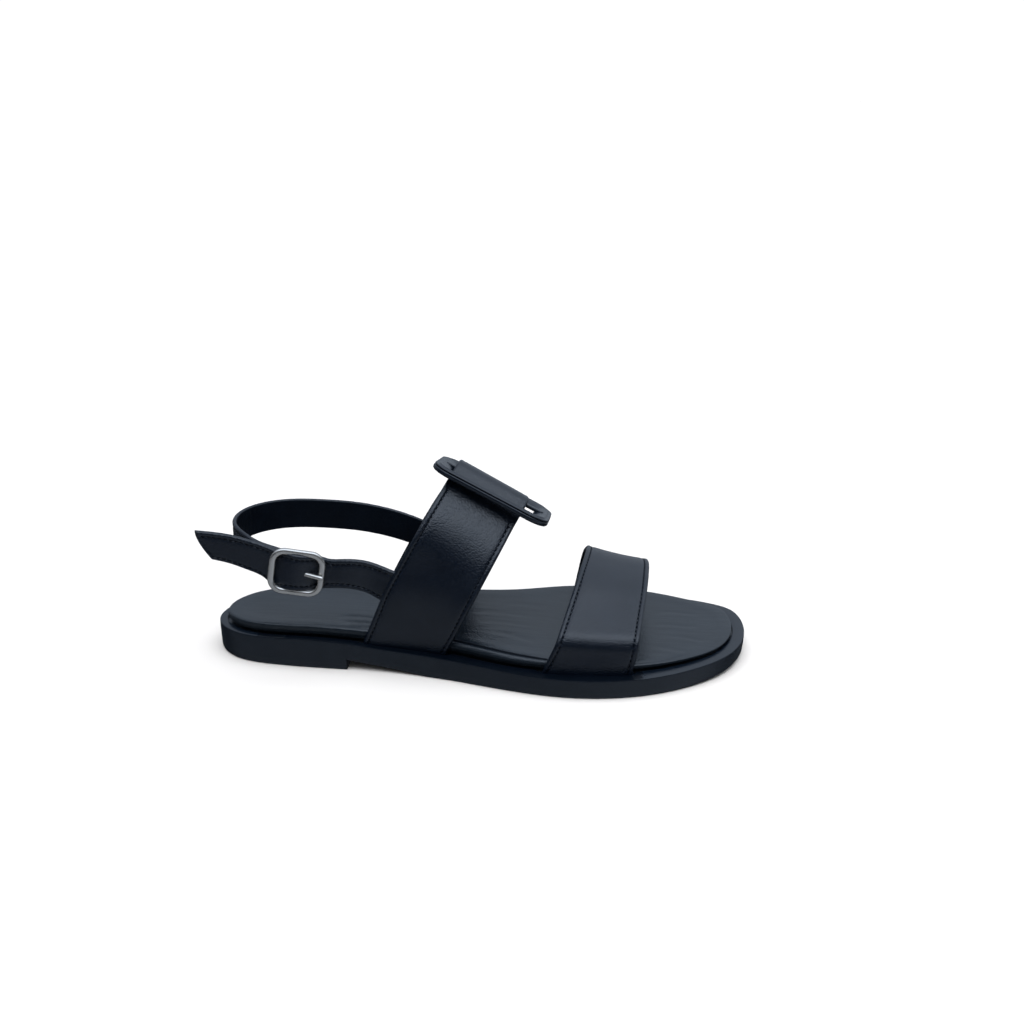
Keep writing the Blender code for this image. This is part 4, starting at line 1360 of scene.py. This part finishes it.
def build_stage():
    """Round floor under a shell of white paper that only the camera sees."""
    turn = np.linspace(0, 2 * math.pi, STAGE_SIDES, endpoint=False)
    rim = np.column_stack([np.cos(turn), np.sin(turn), np.zeros(STAGE_SIDES)])
    floor = make_mesh("floor", rim * FLOOR_REACH / MM, [tuple(range(STAGE_SIDES))])
    material, _, shader = surface("floor_white", 0.9, specular=0.1)
    shader.inputs["Base Color"].default_value = (*FLOOR_TONE, 1.0)
    floor.data.materials.append(material)
    floor.visible_glossy = False

    lifts = np.linspace(*SHELL_LIFTS, STAGE_RINGS)
    shell = np.concatenate([rim * math.cos(lift) + (0, 0, math.sin(lift)) for lift in lifts])
    faces = ring_faces(STAGE_RINGS, STAGE_SIDES)
    faces.append(tuple(range(len(shell) - STAGE_SIDES, len(shell))))
    backdrop = make_mesh("backdrop", shell * (FLOOR_REACH - SHELL_IN) / MM, faces)
    paper = bpy.data.materials.new("backdrop_white")
    paper.use_nodes = True
    tree = paper.node_tree
    tree.nodes.remove(tree.nodes["Principled BSDF"])
    glow = node(tree, "Emission", Strength=BACKDROP_GLOW)
    feed(tree, tree.nodes["Material Output"].inputs["Surface"], glow.outputs["Emission"])
    backdrop.data.materials.append(paper)
    backdrop.visible_diffuse = False
    backdrop.visible_glossy = False
    backdrop.visible_transmission = False
    backdrop.visible_shadow = False


def height_ramp(tree, height, stops):
    """Colour ramp over a direction's height, from tones given at heights between -1 and 1."""
    ramp = node(tree, "ValToRGB", Fac=height)
    while len(ramp.color_ramp.elements) < len(stops):
        ramp.color_ramp.elements.new(0.5)
    for element, (level, tone) in zip(ramp.color_ramp.elements, stops):
        element.position = (level + 1.0) / 2.0
        element.color = (*(tone * share for share in LIGHT_TINT), 1.0)
    return ramp.outputs["Color"]


def build_light():
    world = bpy.data.worlds.new("studio")
    world.use_nodes = True
    bpy.context.scene.world = world
    tree = world.node_tree
    background = tree.nodes["Background"]
    way = node(tree, "TexCoord").outputs["Generated"]
    x, y, z = node(tree, "SeparateXYZ", way).outputs
    height = node(tree, "MapRange", z, From_Min=-1.0).outputs["Result"]
    side = node(tree, "MapRange", y, -SIDE_BLEND, SIDE_BLEND, interpolation_type="SMOOTHSTEP")
    blend = node(tree, "Mix", side.outputs["Result"], data_type="RGBA")
    feed(tree, blend.inputs[6], height_ramp(tree, height, FRONT_LIGHT))
    feed(tree, blend.inputs[7], height_ramp(tree, height, BACK_LIGHT))
    feed(tree, background.inputs["Color"], blend.outputs[2])
    slant = node(tree, "MapRange", x, -1.0, 1.0, HEEL_END_LIGHT, TOE_END_LIGHT)
    feed(tree, background.inputs["Strength"], slant.outputs["Result"])

    lamp = bpy.data.lights.new("overhead", "SUN")
    lamp.energy = SUN_POWER
    lamp.angle = SUN_ANGLE
    lamp.color = LIGHT_TINT
    sun = bpy.data.objects.new("overhead", lamp)
    sun.rotation_mode = "QUATERNION"
    sun.rotation_quaternion = Vector(SUN_WAY).to_track_quat("Z", "Y")
    sun.visible_glossy = False
    bpy.context.scene.collection.objects.link(sun)


def build_camera():
    level = Vector((math.cos(CAMERA_AZIMUTH), math.sin(CAMERA_AZIMUTH), 0.0))
    ahead = Vector((-level.y, level.x, 0.0))
    back = Vector((0, 0, 1)) * math.sin(CAMERA_ELEVATION) - ahead * math.cos(CAMERA_ELEVATION)
    upright = back.cross(level)
    right = level * math.cos(CAMERA_ROLL) + upright * math.sin(CAMERA_ROLL)
    up = upright * math.cos(CAMERA_ROLL) - level * math.sin(CAMERA_ROLL)
    lens = bpy.data.cameras.new("camera")
    lens.sensor_width = SENSOR_MM
    lens.lens = CAMERA_FOCAL_PX * SENSOR_MM / IMAGE_PX
    lens.clip_start = 0.01
    lens.clip_end = 60.0
    camera = bpy.data.objects.new("camera", lens)
    turn = Matrix((right, up, back)).transposed().to_4x4()
    camera.matrix_world = Matrix.Translation((Vector(CAMERA_TARGET) + back * CAMERA_DISTANCE) * MM) @ turn
    bpy.context.scene.collection.objects.link(camera)
    bpy.context.scene.camera = camera


build_camera()
build_sandal()
build_stage()
build_light()
bpy.context.scene.view_settings.view_transform = "Standard"
bpy.context.scene.view_settings.look = "None"
